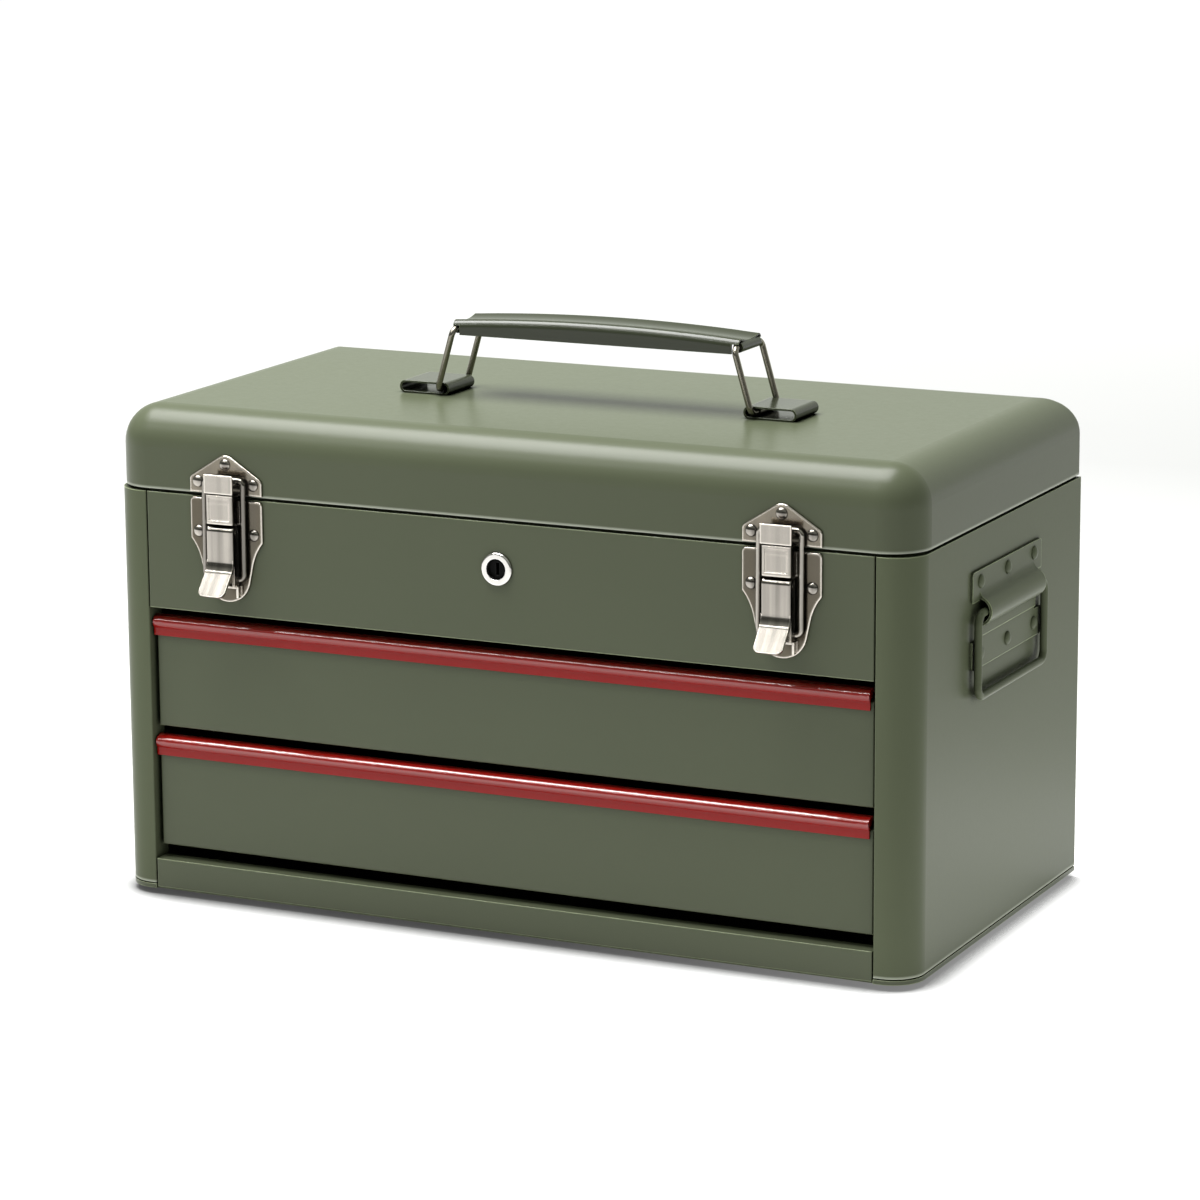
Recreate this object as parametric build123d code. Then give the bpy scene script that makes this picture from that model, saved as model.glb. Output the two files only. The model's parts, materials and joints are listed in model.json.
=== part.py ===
from build123d import *
import math
import os

# A steel tool chest: a case with a lift-up lid, a well under it and two drawers.
# X runs to the right, Y to the back, Z up. The origin is the middle of the underside.
# Heights below count from the lower edge of the case, which stands a little above the ground.

# Case
case_width = 500.0
case_depth = 259.0
body_height = 238.0
corner_radius = 19.0
sheet = 1.2
weld_gap = 0.1
stile_width = 22.9
return_depth = 14.0
seam_radius = 0.8
overrun = 5.0

# Rim that the lid closes over
rim_inset = 2.7
rim_height = 7.0

# Lid
lid_gap = 1.8
lid_height = 46.7
lid_corner_radius = 23.0
lid_edge_radius = 22.6
lid_back_radius = 4.0
lid_open_angle = 105.0

# Base pan and base rail
base_edge = 2.6
base_seam = 0.8
base_flange = 12.0
floor_press = 3.5
floor_press_inset = 24.0
floor_press_radius = 12.0
rail_bottom = 1.2
rail_top = 18.2

# Back panel
back_flange = 15.0

# Front apron and floor of the well
apron_height = 68.5
seam_gap = 0.6
apron_flange = 12.0
well_flange = 12.0

# Drawers
rail_gap = 7.8
finger_gap = 5.6
drawer_front_recess = 5.0
drawer_front_flange = 6.0
drawer_front_edge_radius = 1.0
drawer_side_gap = 2.0
drawer_travel = 180.0
tray_sheet = 1.0
tray_lift = 1.5
tray_wall_drop = 4.8
tray_back_space = 18.0
tray_corner_radius = 2.0
stop_tab_reach = 7.0
stop_tab_height = 20.0
stop_tab_gap = 0.5

# Drawer runners
runner_clearance = 0.3
runner_under_reach = 8.0
runner_over_reach = 5.0

# Drawer pulls, capped over the top edge of each drawer front
pull_left_gap = 0.9
pull_right_gap = 4.2
pull_drop = 4.8
pull_flange = 1.2
pull_waist_height = 4.6
pull_bulge_height = 7.4
pull_bulge = 2.6
pull_height = 11.8
pull_depth = 4.6
pull_wall = 1.3

# Lid hinge along the back
hinge_end_inset = 30.0
hinge_knuckles = 11
hinge_barrel_radius = 3.2
hinge_pin_radius = 1.6
hinge_pin_clearance = 0.05
hinge_leaf = 1.2
hinge_leaf_height = 17.0
hinge_knuckle_gap = 0.3
hinge_leaf_clearance = 0.4
hinge_rivet_inset = 20.0
hinge_rivet_rows = 6
hinge_stop_width = 24.0
hinge_stop_sheet = 1.2

# Rivets, a dome head outside and a flat head inside
rivet_radius = 1.6
rivet_clearance = 0.1
rivet_head_radius = 3.0
rivet_head_height = 1.8
rivet_tail_radius = 2.6
rivet_tail_height = 0.9
rivet_dome_share = 0.85

# Lock
lock_drop = 26.4
lock_bezel_radius = 9.5
lock_bezel_height = 1.8
lock_bezel_round = 1.2
lock_sleeve_radius = 8.0
lock_sleeve_length = 11.0
lock_bore_radius = 6.0
lock_plug_clearance = 0.05
lock_plug_recess = 2.4
lock_keyway_width = 1.8
lock_keyway_height = 7.0
lock_keyway_depth = 5.0
lock_nut_radius = 11.0
lock_nut_height = 3.5
lock_hole_clearance = 0.1
lock_tail_radius = 3.0
lock_cam_gap = 0.5
lock_cam_sheet = 2.0
lock_cam_width = 9.0
lock_cam_reach = 24.0
keeper_sheet = 1.5
keeper_inset = 8.0
keeper_x = 11.0
keeper_width = 13.0
keeper_drop = 34.5
keeper_ledge = 10.0
keeper_plate_lift = 8.0
keeper_plate_height = 9.0

# Latches
latch_inset = 77.0
latch_plate = 1.5
latch_width = 47.0
latch_edge_gap = 0.6
latch_edge_radius = 0.6
latch_rivet_side = 18.0
latch_rivet_head_radius = 3.5
latch_rivet_head_height = 2.0
strike_height = 23.9
strike_shoulder = 14.9
strike_apex_radius = 8.0
strike_corner_radius = 3.0
strike_rivet_top = 6.9
strike_rivet_drop = 17.5
hook_width = 18.4
hook_sheet = 1.2
hook_lift = 1.6
hook_lip = 5.05
base_plate_toe = 3.6
base_plate_shoulder = 24.0
base_plate_neck_half = 16.9
base_plate_neck_rise = 22.5
base_plate_foot_half = 14.6
base_plate_foot_rise = 12.0
base_plate_corner_radius = 2.5
base_rivet_drop = 19.6
lever_width = 17.2
lever_sheet = 1.2
lever_front = 9.6
lever_back = 2.3
lever_head = 3.3
lever_head_radius = 3.2
lever_heel_radius = 2.6
lever_edge_radius = 0.8
lever_straight = 19.5
lever_tab_angle = 40.0
lever_tab_bend = 11.5
lever_tab_length = 14.8
lever_tab_sheet = 1.5
lever_tab_corner_radius = 4.0
lever_seam = 1.5
lever_pivot_out = 5.0
lever_pin_radius = 1.5
lever_pin_clearance = 0.05
lever_pivot_drop = 17.9
lever_tail = 3.4
lever_ear_radius = 2.9
lever_ear_sheet = 1.4
lever_ear_gap = 0.4
bridge_rise = 3.1
bridge_panel_inset = 2.0
bridge_panel_depth = 0.4
rest_half = 9.0
rest_gap = 0.8
rest_height = 6.8
rest_out = 5.0
rest_sheet = 1.3
bail_radius = 1.5
bail_spread = 25.3
bail_length = 57.4
bail_pivot_out = 4.2
bail_bend_radius = 3.2
bail_clearance = 0.05
bail_stub_reach = 0.8
bail_bar_out = 3.4
bail_bar_lift = 9.0
bail_bar_play = 4.0

# Top handle, a little right of and in front of the middle of the lid
handle_x = 9.0
handle_y = -7.0
handle_wire_radius = 1.8
handle_ring_width = 37.6
handle_bend_radius = 4.0
handle_top_x = 89.0
handle_foot_x = 99.5
handle_foot_lift = 3.7
handle_top_lift = 39.8
clip_sheet = 1.2
clip_inner_height = 5.0
clip_inner_x = 93.5
clip_outer_x = 126.0
clip_length = 32.0
clip_rivet_inset = 8.0
clip_rivet_spread = 14.0
sleeve_wall = 0.55
sleeve_clearance = 0.05
sleeve_length = 21.0
grip_width = 33.0
grip_sheet = 1.1
grip_skirt = 11.7
grip_rim_radius = 4.5
grip_dish = 1.8
grip_arch = 3.3
grip_end_reach = 1.5
grip_skirt_gap = 2.8
grip_end_lift = 0.3
grip_lug_width = 26.0
grip_lug_wall = 1.2
grip_rim_lift = 8.2
wire_clearance = 0.05

# Side handles
side_handle_y = 6.3
side_handle_width = 108.0
side_plate = 1.5
side_plate_rise = 23.5
side_plate_fall = 32.0
side_plate_corner_radius = 2.5
side_pivot_drop = 46.5
side_pivot_out = 4.3
side_bulge_radius = 8.7
side_bulge_length = 86.0
side_bulge_blend = 5.0
side_slot_rise = 6.3
side_slot_fall = 16.0
side_strip_height = 5.5
side_strip_sheet = 0.7
side_ring_wire_radius = 2.3
side_ring_width = 104.4
side_ring_drop = 47.0
side_ring_bend_radius = 6.0
side_rivet_pitch = 42.0
side_rivet_rise = 16.9
side_rivet_fall = 23.9
side_rivet_head_radius = 4.0
side_rivet_head_height = 2.0

# Places that follow from the sizes above
half_width = case_width / 2
front_y = -case_depth / 2
back_y = case_depth / 2
stile_x = half_width - stile_width
panel_bottom = base_edge + base_seam
base_flange_top = base_edge + base_flange
inner_inset = sheet + weld_gap
inner_x = half_width - inner_inset
inner_back = back_y - inner_inset
rim_reach = rim_inset + sheet
lid_bottom = body_height + lid_gap
lid_top = lid_bottom + lid_height
apron_edge = stile_x - seam_gap
apron_bottom = body_height - apron_height
lower_drawer_bottom = rail_top + rail_gap
drawer_pitch = (apron_bottom - lower_drawer_bottom) / 2
upper_drawer_bottom = lower_drawer_bottom + drawer_pitch
drawer_front_height = drawer_pitch - finger_gap - pull_height + pull_drop - weld_gap
tray_wall_height = drawer_front_height - tray_wall_drop
tray_half = stile_x - drawer_side_gap
drawer_face_y = front_y + drawer_front_recess
tray_front_y = drawer_face_y + drawer_front_flange + weld_gap
tray_back_y = back_y - tray_back_space
runner_front_y = front_y + corner_radius + weld_gap
runner_back_y = back_y - back_flange - weld_gap
stop_face_y = front_y + return_depth
hinge_y = back_y + hinge_barrel_radius
hinge_z = body_height + lid_gap / 2
hinge_length = case_width - 2 * hinge_end_inset
hinge_rivet_pitch = (hinge_length - 2 * hinge_rivet_inset) / (hinge_rivet_rows - 1)
lock_height = body_height - lock_drop
latch_x = half_width - latch_inset
rivet_hole_radius = rivet_radius + rivet_clearance
strike_bottom = lid_bottom + latch_edge_gap
strike_apex = strike_bottom + strike_height
base_plate_top = body_height - latch_edge_gap
bail_bar_z = strike_bottom + bail_bar_lift
bail_pivot_z = bail_bar_z - bail_length
lever_pivot_z = base_plate_top - lever_pivot_drop
lever_top = lever_pivot_z + lever_head
rest_top = bail_pivot_z - lever_tail - rest_gap
base_plate_bottom = rest_top - rest_height - base_plate_toe
bridge_bottom = lever_top + lever_seam
bridge_top = body_height + bridge_rise
handle_foot_z = lid_top + handle_foot_lift
handle_top_z = lid_top + handle_top_lift
side_pivot_height = body_height - side_pivot_drop

low_corner = (Align.MIN, Align.MIN, Align.MIN)
upward = (Align.CENTER, Align.CENTER, Align.MIN)
pieces = {}


def block(x_low, x_high, y_low, y_high, z_low, z_high):
    """A block between two corners."""
    box = Box(x_high - x_low, y_high - y_low, z_high - z_low, align=low_corner)
    return Pos(x_low, y_low, z_low) * box


def rod_y(x, y_low, y_high, z, radius):
    """A round bar along Y."""
    bar = Cylinder(radius, y_high - y_low, align=upward)
    return Pos(x, y_low, z) * Rot(-90, 0, 0) * bar


def rod_x(x_low, x_high, y, z, radius):
    """A round bar along X."""
    bar = Cylinder(radius, x_high - x_low, align=upward)
    return Pos(x_low, y, z) * Rot(0, 90, 0) * bar


def mirrored(shape):
    """The same piece on the other side of the case."""
    return mirror(shape, about=Plane.YZ)


def keep(name, *solids):
    """Keep the solids of one node, raised so that the pressed floor stands on the ground."""
    placed = [Pos(0, 0, floor_press) * solid for solid in solids]
    pieces[name] = placed[0] if len(placed) == 1 else Compound(children=placed)


def both_sides(name, right_piece):
    """Keep a piece of the right side and its mirror image on the left."""
    keep(name + "_right", right_piece)
    keep(name + "_left", mirrored(right_piece))


def plan_face(inset, radius=corner_radius):
    """The outline of the case seen from above, with round front corners."""
    outline = Rectangle(case_width - 2 * inset, case_depth - 2 * inset)
    front_corners = outline.vertices().group_by(Axis.Y)[0]
    return fillet(front_corners, radius - inset)


def plan_wall(inset, wall, z_low, z_high, radius=corner_radius):
    """A wall that follows the outline of the case."""
    ring = plan_face(inset, radius) - plan_face(inset + wall, radius)
    return Pos(0, 0, z_low) * extrude(ring, amount=z_high - z_low)


def rim():
    """The stepped rim on top of the case, all the way round."""
    low = body_height - sheet
    shoulder = plan_face(0) - plan_face(rim_reach, lid_corner_radius)
    upstand = plan_wall(rim_inset, sheet, low, body_height + rim_height, lid_corner_radius)
    return Pos(0, 0, low) * extrude(shoulder, amount=sheet) + upstand


def rivet(grip, head_radius=rivet_head_radius, head_height=rivet_head_height):
    """A rivet along Z: dome head above zero, the grip and the tail below."""
    head = Cylinder(head_radius, head_height, align=upward)
    head = fillet(head.edges().sort_by(Axis.Z)[-1], head_height * rivet_dome_share)
    shank = Pos(0, 0, -grip) * Cylinder(rivet_radius, grip, align=upward)
    tail_z = -grip - rivet_tail_height
    tail = Pos(0, 0, tail_z) * Cylinder(rivet_tail_radius, rivet_tail_height, align=upward)
    return head + shank + tail


def rivet_hole(depth):
    """The hole that a rivet passes through, along Z."""
    return Pos(0, 0, -depth) * Cylinder(rivet_hole_radius, 2 * depth, align=upward)


def facing_front(x, y, z):
    """A place on a front face, with the local Z pointing out of the case."""
    return Pos(x, y, z) * Rot(90, 0, 0)


def facing_back(x, y, z):
    """A place on a back face, with the local Z pointing out of the case."""
    return Pos(x, y, z) * Rot(-90, 0, 0)


def facing_right(x, y, z):
    """A place on the right side, with the local Z pointing out of the case."""
    return Pos(x, y, z) * Rot(0, 90, 0)


def wire_along(points, bend_radius, wire_radius):
    """A round wire along straight runs joined by bends."""
    path = FilletPolyline(*points, radius=bend_radius)
    start = Plane(origin=path @ 0, z_dir=path % 0)
    return sweep(start * Circle(wire_radius), path=path)


# Rivet places

def strike_rivet_places():
    """Where the strike of the right latch is riveted to the lid."""
    side_z = strike_apex - strike_rivet_drop
    top = (latch_x, strike_apex - strike_rivet_top)
    return [top, (latch_x - latch_rivet_side, side_z), (latch_x + latch_rivet_side, side_z)]


def base_rivet_places():
    """Where the base plate of the right latch is riveted to the apron."""
    z = base_plate_top - base_rivet_drop
    return [(latch_x - latch_rivet_side, z), (latch_x + latch_rivet_side, z)]


def hinge_rivet_xs():
    """Where the hinge leaves are riveted, along X."""
    first = -hinge_rivet_pitch * (hinge_rivet_rows - 1) / 2
    return [first + hinge_rivet_pitch * row for row in range(hinge_rivet_rows)]


def side_rivet_places():
    """Where a side handle plate is riveted, as Y and Z."""
    rows = (side_pivot_height + side_rivet_rise, side_pivot_height - side_rivet_fall)
    return [(side_handle_y + side_rivet_pitch * step, z) for z in rows for step in (-1, 0, 1)]


def clip_rivet_places():
    """Where the right handle clip is riveted to the lid, as X and Y."""
    x = clip_outer_x - clip_rivet_inset
    return [(x, clip_rivet_spread / 2), (x, -clip_rivet_spread / 2)]


# Case shell

def side_panel():
    """The right side with its round front corner, stile and stile return."""
    wall = plan_wall(0, sheet, panel_bottom, body_height)
    right = block(stile_x, half_width, front_y, back_y, panel_bottom, body_height)
    panel = wall & right
    panel -= block(stile_x - overrun, half_width - sheet, 0, back_y + overrun, 0, body_height)
    panel += block(stile_x, stile_x + sheet, front_y, front_y + return_depth, panel_bottom, body_height)
    rim_back = back_y - rim_reach - weld_gap
    rim_top = body_height + rim_height
    panel += rim() & block(stile_x, half_width, front_y, rim_back, panel_bottom, rim_top)
    panel = fillet(end_edges(panel, stile_x), seam_radius)
    for y, z in side_rivet_places():
        panel -= facing_right(half_width, y, z) * rivet_hole(overrun)
    return panel


def end_edges(panel, x):
    """The upright edges on the front of the case at this distance to either side."""
    upright = [(edge, edge.center()) for edge in panel.edges().filter_by(Axis.Z)]
    at_front = [pair for pair in upright if math.isclose(pair[1].Y, front_y, abs_tol=weld_gap)]
    return [edge for edge, middle in at_front if math.isclose(abs(middle.X), x, abs_tol=weld_gap)]


def back_panel():
    """The back, between the side panels, with flanges welded inside them."""
    edge_x = half_width - sheet - weld_gap
    panel = block(-edge_x, edge_x, back_y - sheet, back_y, panel_bottom, body_height)
    flange_bottom = base_flange_top + weld_gap
    flange = block(edge_x - sheet, edge_x, back_y - back_flange, back_y, flange_bottom, body_height - sheet)
    panel += flange + mirrored(flange)
    rim_front = back_y - rim_reach
    panel += rim() & block(-edge_x, edge_x, rim_front, back_y, panel_bottom, body_height + rim_height)
    for x in hinge_rivet_xs():
        panel -= facing_back(x, back_y, hinge_z - hinge_leaf_height / 2) * rivet_hole(overrun)
    return panel


def front_apron():
    """The fixed upper front, flush with the stiles, carrying the lock and the latches."""
    flange_y = front_y + apron_flange
    apron = block(-apron_edge, apron_edge, front_y, front_y + sheet, apron_bottom, body_height)
    apron += block(-apron_edge, apron_edge, front_y, flange_y, apron_bottom, apron_bottom + sheet)
    end = block(apron_edge - sheet, apron_edge, front_y, flange_y, apron_bottom, body_height)
    apron += end + mirrored(end)
    apron += rim() & block(-apron_edge, apron_edge, front_y, 0, apron_bottom, body_height + rim_height)
    apron = fillet(end_edges(apron, apron_edge), seam_radius)
    hole = Pos(0, 0, -overrun) * Cylinder(lock_sleeve_radius + lock_hole_clearance, 2 * overrun, align=upward)
    apron -= facing_front(0, front_y, lock_height) * hole
    for x, z in base_rivet_places():
        for side in (x, -x):
            apron -= facing_front(side, front_y, z) * rivet_hole(overrun)
    return apron


def base_pan():
    """The bottom pan: a floor pressed down inside, a thick edge and a flange inside the panels."""
    pan = extrude(plan_face(0), amount=base_edge)
    inner = inner_inset + sheet
    pan -= Pos(0, 0, sheet) * extrude(plan_face(inner), amount=base_edge)
    pan += pressed_floor(floor_press_inset, -floor_press, sheet)
    pan -= pressed_floor(floor_press_inset + sheet, sheet - floor_press, base_edge)
    pan += plan_wall(inner_inset, sheet, sheet, base_flange_top)
    notch_x = stile_x + sheet + weld_gap
    notch_y = front_y + return_depth + weld_gap
    pan -= block(-notch_x, notch_x, front_y - overrun, notch_y, base_edge, base_flange_top + overrun)
    rail_y = front_y + sheet + weld_gap
    pan -= block(-stile_x, stile_x, front_y - overrun, rail_y, -overrun, base_flange_top)
    return pan


def pressed_floor(inset, z_low, z_high):
    """A block over the part of the floor that is pressed down and stands on the ground."""
    floor = block(inset - half_width, half_width - inset, front_y + inset, back_y - inset, z_low, z_high)
    return fillet(floor.edges().filter_by(Axis.Z), floor_press_radius)


def base_rail():
    """The rail under the drawers, flush with the stiles."""
    edge_x = stile_x - seam_gap
    flange_y = front_y + apron_flange
    rail = block(-edge_x, edge_x, front_y, front_y + sheet, rail_bottom, rail_top)
    rail += block(-edge_x, edge_x, front_y, flange_y, rail_top - sheet, rail_top)
    end = block(edge_x - sheet, edge_x, front_y, flange_y, panel_bottom, rail_top)
    rail += end + mirrored(end)
    return fillet(end_edges(rail, edge_x), seam_radius)


def well_floor():
    """The deck between the well under the lid and the drawers, with welded flanges."""
    floor_z = apron_bottom + sheet + weld_gap
    flange_z = floor_z + well_flange
    flange_back = back_y - back_flange - weld_gap
    front = front_y + corner_radius + weld_gap
    apron_x = apron_edge - sheet - weld_gap
    floor = block(-inner_x, inner_x, front, flange_back, floor_z, floor_z + sheet)
    middle_x = inner_x - sheet - weld_gap
    floor += block(-middle_x, middle_x, flange_back, inner_back, floor_z, floor_z + sheet)
    floor += block(-apron_x, apron_x, front_y + sheet + weld_gap, front, floor_z, floor_z + sheet)
    floor += block(-middle_x, middle_x, inner_back - sheet, inner_back, floor_z, flange_z)
    side = block(inner_x - sheet, inner_x, front, flange_back, floor_z, flange_z)
    return floor + side + mirrored(side)


def runner(drawer_bottom):
    """The right C-shaped runner that holds a drawer below and above its side."""
    low = drawer_bottom + tray_lift - runner_clearance - sheet
    high = drawer_bottom + tray_lift + tray_wall_height + runner_clearance + sheet
    web = block(inner_x - sheet, inner_x, runner_front_y, runner_back_y, low, high)
    under = block(tray_half - runner_under_reach, inner_x, runner_front_y, runner_back_y, low, low + sheet)
    over = block(tray_half - runner_over_reach, inner_x, runner_front_y, runner_back_y, high - sheet, high)
    return web + under + over


# Drawers

def drawer_tray(drawer_bottom):
    """An open steel tray with stop tabs that meet the stile returns when pulled out."""
    low = drawer_bottom + tray_lift
    high = low + tray_wall_height
    outer = block(-tray_half, tray_half, tray_front_y, tray_back_y, low, high)
    outer = fillet(outer.edges().filter_by(Axis.Z), tray_corner_radius)
    inner_half = tray_half - tray_sheet
    inner = block(-inner_half, inner_half, tray_front_y + tray_sheet, tray_back_y - tray_sheet,
                  low + tray_sheet, high + overrun)
    inner = fillet(inner.edges().filter_by(Axis.Z), tray_corner_radius - tray_sheet)
    tab_y = stop_face_y + drawer_travel + stop_tab_gap
    tab_z = (low + high) / 2 - stop_tab_height / 2
    tab = block(inner_half, tray_half + stop_tab_reach, tab_y, tab_y + tray_sheet,
                tab_z, tab_z + stop_tab_height)
    return outer - inner + tab + mirrored(tab)


def drawer_front(drawer_bottom):
    """The shallow pan on the front of a drawer."""
    high = drawer_bottom + drawer_front_height
    back = drawer_face_y + drawer_front_flange
    outer = block(-tray_half, tray_half, drawer_face_y, back, drawer_bottom, high)
    front_edges = outer.edges().group_by(Axis.Y)[0]
    outer = fillet(front_edges, drawer_front_edge_radius)
    inner_half = tray_half - sheet
    return outer - block(-inner_half, inner_half, drawer_face_y + sheet, back + overrun,
                         drawer_bottom + sheet, high - sheet)


def drawer_pull(drawer_bottom):
    """The pull: a flange on the drawer front, a waist and a round lip over its top edge."""
    foot = drawer_bottom + drawer_front_height - pull_drop + weld_gap
    face = drawer_face_y - weld_gap
    outside = face - pull_flange
    with BuildPart() as pull:
        with BuildSketch(Plane.YZ) as section:
            with BuildLine():
                a = (face, foot)
                b = (outside, foot)
                c = (outside, foot + pull_waist_height)
                d = (face - pull_bulge, foot + pull_bulge_height)
                e = (face + pull_depth, foot + pull_height)
                Polyline(a, b, c)
                lip = TangentArc(c, d, tangent=(-1, 1))
                Spline(d, e, tangents=(lip % 1, (1, 0)))
                f = (face + pull_depth, foot + pull_height - pull_wall)
                g = (face, foot + pull_drop + pull_wall)
                Polyline(e, f, g, a)
            make_face()
        left = -stile_x + pull_left_gap
        right = stile_x - pull_right_gap
        extrude(amount=right - left)
    return Pos(left, 0, 0) * pull.part


# Lid and hinge

def lid_block(inset):
    """The lid as a solid block, or its inside when inset by the sheet."""
    width = case_width - 2 * inset
    depth = case_depth - 2 * inset
    solid = Box(width, depth, lid_height - inset, align=upward)
    front_edges = solid.edges().filter_by(Axis.Z).group_by(Axis.Y)[0]
    solid = fillet(front_edges, lid_corner_radius - inset)
    top_edges = solid.faces().sort_by(Axis.Z)[-1].edges()
    solid = fillet(top_edges, lid_edge_radius - inset)
    back_edges = solid.edges().filter_by(Axis.Z).group_by(Axis.Y)[-1]
    return Pos(0, 0, lid_bottom) * fillet(back_edges, lid_back_radius - inset)


def lid_shell():
    """The pressed lid with rounded top edges and corners, open below."""
    cavity = lid_block(sheet) + block(-half_width + lid_corner_radius, half_width - lid_corner_radius,
                                      front_y + lid_corner_radius, back_y - lid_corner_radius,
                                      lid_bottom - overrun, lid_bottom + overrun)
    shell = lid_block(0) - cavity
    for x, z in strike_rivet_places():
        for side in (x, -x):
            shell -= facing_front(side, front_y, z) * rivet_hole(overrun)
    for x in hinge_rivet_xs():
        shell -= facing_back(x, back_y, hinge_z + hinge_leaf_height / 2) * rivet_hole(overrun)
    for x, y in clip_rivet_places():
        for side in (x, -x):
            shell -= Pos(handle_x + side, handle_y + y, lid_top) * rivet_hole(overrun)
    return shell


def knuckle_span(index):
    """Where one hinge knuckle starts and ends along X."""
    pitch = hinge_length / hinge_knuckles
    start = -hinge_length / 2 + pitch * index
    return start + hinge_knuckle_gap / 2, start + pitch - hinge_knuckle_gap / 2


def hinge_leaf_piece(plate, own_first):
    """A hinge leaf: its plate, cleared round the other knuckles, with its own knuckles."""
    leaf = plate
    for index in range(hinge_knuckles):
        start, end = knuckle_span(index)
        if index % 2 != own_first:
            cleared = hinge_barrel_radius + hinge_leaf_clearance
            leaf -= rod_x(start - hinge_knuckle_gap, end + hinge_knuckle_gap, hinge_y, hinge_z, cleared)
    for index in range(own_first, hinge_knuckles, 2):
        start, end = knuckle_span(index)
        leaf += rod_x(start, end, hinge_y, hinge_z, hinge_barrel_radius)
    bore = hinge_pin_radius + hinge_pin_clearance
    leaf -= rod_x(-hinge_length, hinge_length, hinge_y, hinge_z, bore)
    return leaf


def hinge_leaf_case():
    """The leaf on the back panel, with the outer knuckles."""
    low = hinge_z - hinge_leaf_height
    plate = block(-hinge_length / 2, hinge_length / 2, back_y, back_y + hinge_leaf, low, hinge_z)
    leaf = hinge_leaf_piece(plate, 0)
    for x in hinge_rivet_xs():
        leaf -= facing_back(x, back_y, hinge_z - hinge_leaf_height / 2) * rivet_hole(overrun)
    return leaf


def hinge_stop_reach():
    """How far a stop tab reaches so that it meets the case leaf at the open angle."""
    past_upright = math.radians(lid_open_angle - 90)
    room = hinge_barrel_radius - hinge_leaf - hinge_leaf_clearance
    return (room - hinge_stop_sheet / 2 * math.cos(past_upright)) / math.sin(past_upright)


def hinge_leaf_lid():
    """The leaf on the lid, with the inner knuckles and two tabs that stop the lid."""
    high = hinge_z + hinge_leaf_height
    low = hinge_z + hinge_leaf_clearance / 2
    plate = block(-hinge_length / 2, hinge_length / 2, back_y, back_y + hinge_leaf, low, high)
    leaf = hinge_leaf_piece(plate, 1)
    for index in (1, hinge_knuckles - 2):
        start, end = knuckle_span(index)
        middle = (start + end) / 2
        tab_low = hinge_z - hinge_stop_sheet / 2
        inner_y = hinge_y + (hinge_pin_radius + hinge_barrel_radius) / 2
        leaf += block(middle - hinge_stop_width / 2, middle + hinge_stop_width / 2,
                      inner_y, hinge_y + hinge_stop_reach(), tab_low, tab_low + hinge_stop_sheet)
    for x in hinge_rivet_xs():
        leaf -= facing_back(x, back_y, hinge_z + hinge_leaf_height / 2) * rivet_hole(overrun)
    return leaf


def hinge_pin():
    """The long pin through all the knuckles."""
    return rod_x(-hinge_length / 2, hinge_length / 2, hinge_y, hinge_z, hinge_pin_radius)


def hinge_rivets(z):
    """The row of rivets that holds one hinge leaf."""
    grip = hinge_leaf + sheet
    place = back_y + hinge_leaf
    return [facing_back(x, place, z) * rivet(grip) for x in hinge_rivet_xs()]


# Lock

def lock_bezel():
    """The bright ring on the apron and the sleeve behind it."""
    ring = Cylinder(lock_bezel_radius, lock_bezel_height, align=upward)
    ring = fillet(ring.edges().sort_by(Axis.Z)[-1], lock_bezel_round)
    sleeve = Pos(0, 0, -lock_sleeve_length) * Cylinder(lock_sleeve_radius, lock_sleeve_length, align=upward)
    bore = Pos(0, 0, -lock_sleeve_length - overrun)
    bore *= Cylinder(lock_bore_radius, lock_sleeve_length + lock_bezel_height + 2 * overrun, align=upward)
    return facing_front(0, front_y, lock_height) * (ring + sleeve - bore)


def lock_nut():
    """The hexagonal nut that clamps the lock from inside."""
    nut = extrude(RegularPolygon(lock_nut_radius, 6), amount=lock_nut_height)
    nut -= Pos(0, 0, -overrun) * Cylinder(lock_sleeve_radius + lock_hole_clearance, 3 * overrun, align=upward)
    place = Pos(0, 0, -sheet - weld_gap - lock_nut_height)
    return facing_front(0, front_y, lock_height) * place * nut


def lock_plug():
    """The plug that turns in the sleeve, with a keyway in front and a tail behind."""
    radius = lock_bore_radius - lock_plug_clearance
    face = lock_bezel_height - lock_plug_recess
    length = face + lock_sleeve_length
    plug = Pos(0, 0, -lock_sleeve_length) * Cylinder(radius, length, align=upward)
    keyway = Box(lock_keyway_width, lock_keyway_height, lock_keyway_depth, align=upward)
    plug -= Pos(0, 0, face - lock_keyway_depth) * keyway
    tail_length = lock_cam_gap + lock_cam_sheet
    tail = Cylinder(lock_tail_radius, tail_length, align=upward)
    tail = Pos(0, 0, -lock_sleeve_length - tail_length) * tail
    return facing_front(0, front_y, lock_height) * (plug + tail)


def lock_cam():
    """The flat cam on the tail of the plug, standing up when unlocked."""
    cam = Box(lock_cam_width, lock_cam_reach, lock_cam_sheet, align=(Align.CENTER, Align.MIN, Align.MIN))
    cam += Cylinder(lock_cam_width / 2, lock_cam_sheet, align=upward)
    cam -= Pos(0, 0, -overrun) * Cylinder(lock_tail_radius + weld_gap, 3 * overrun, align=upward)
    cam_z = -lock_sleeve_length - lock_cam_gap - lock_cam_sheet
    return facing_front(0, front_y, lock_height) * Pos(0, 0, cam_z) * cam


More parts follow.
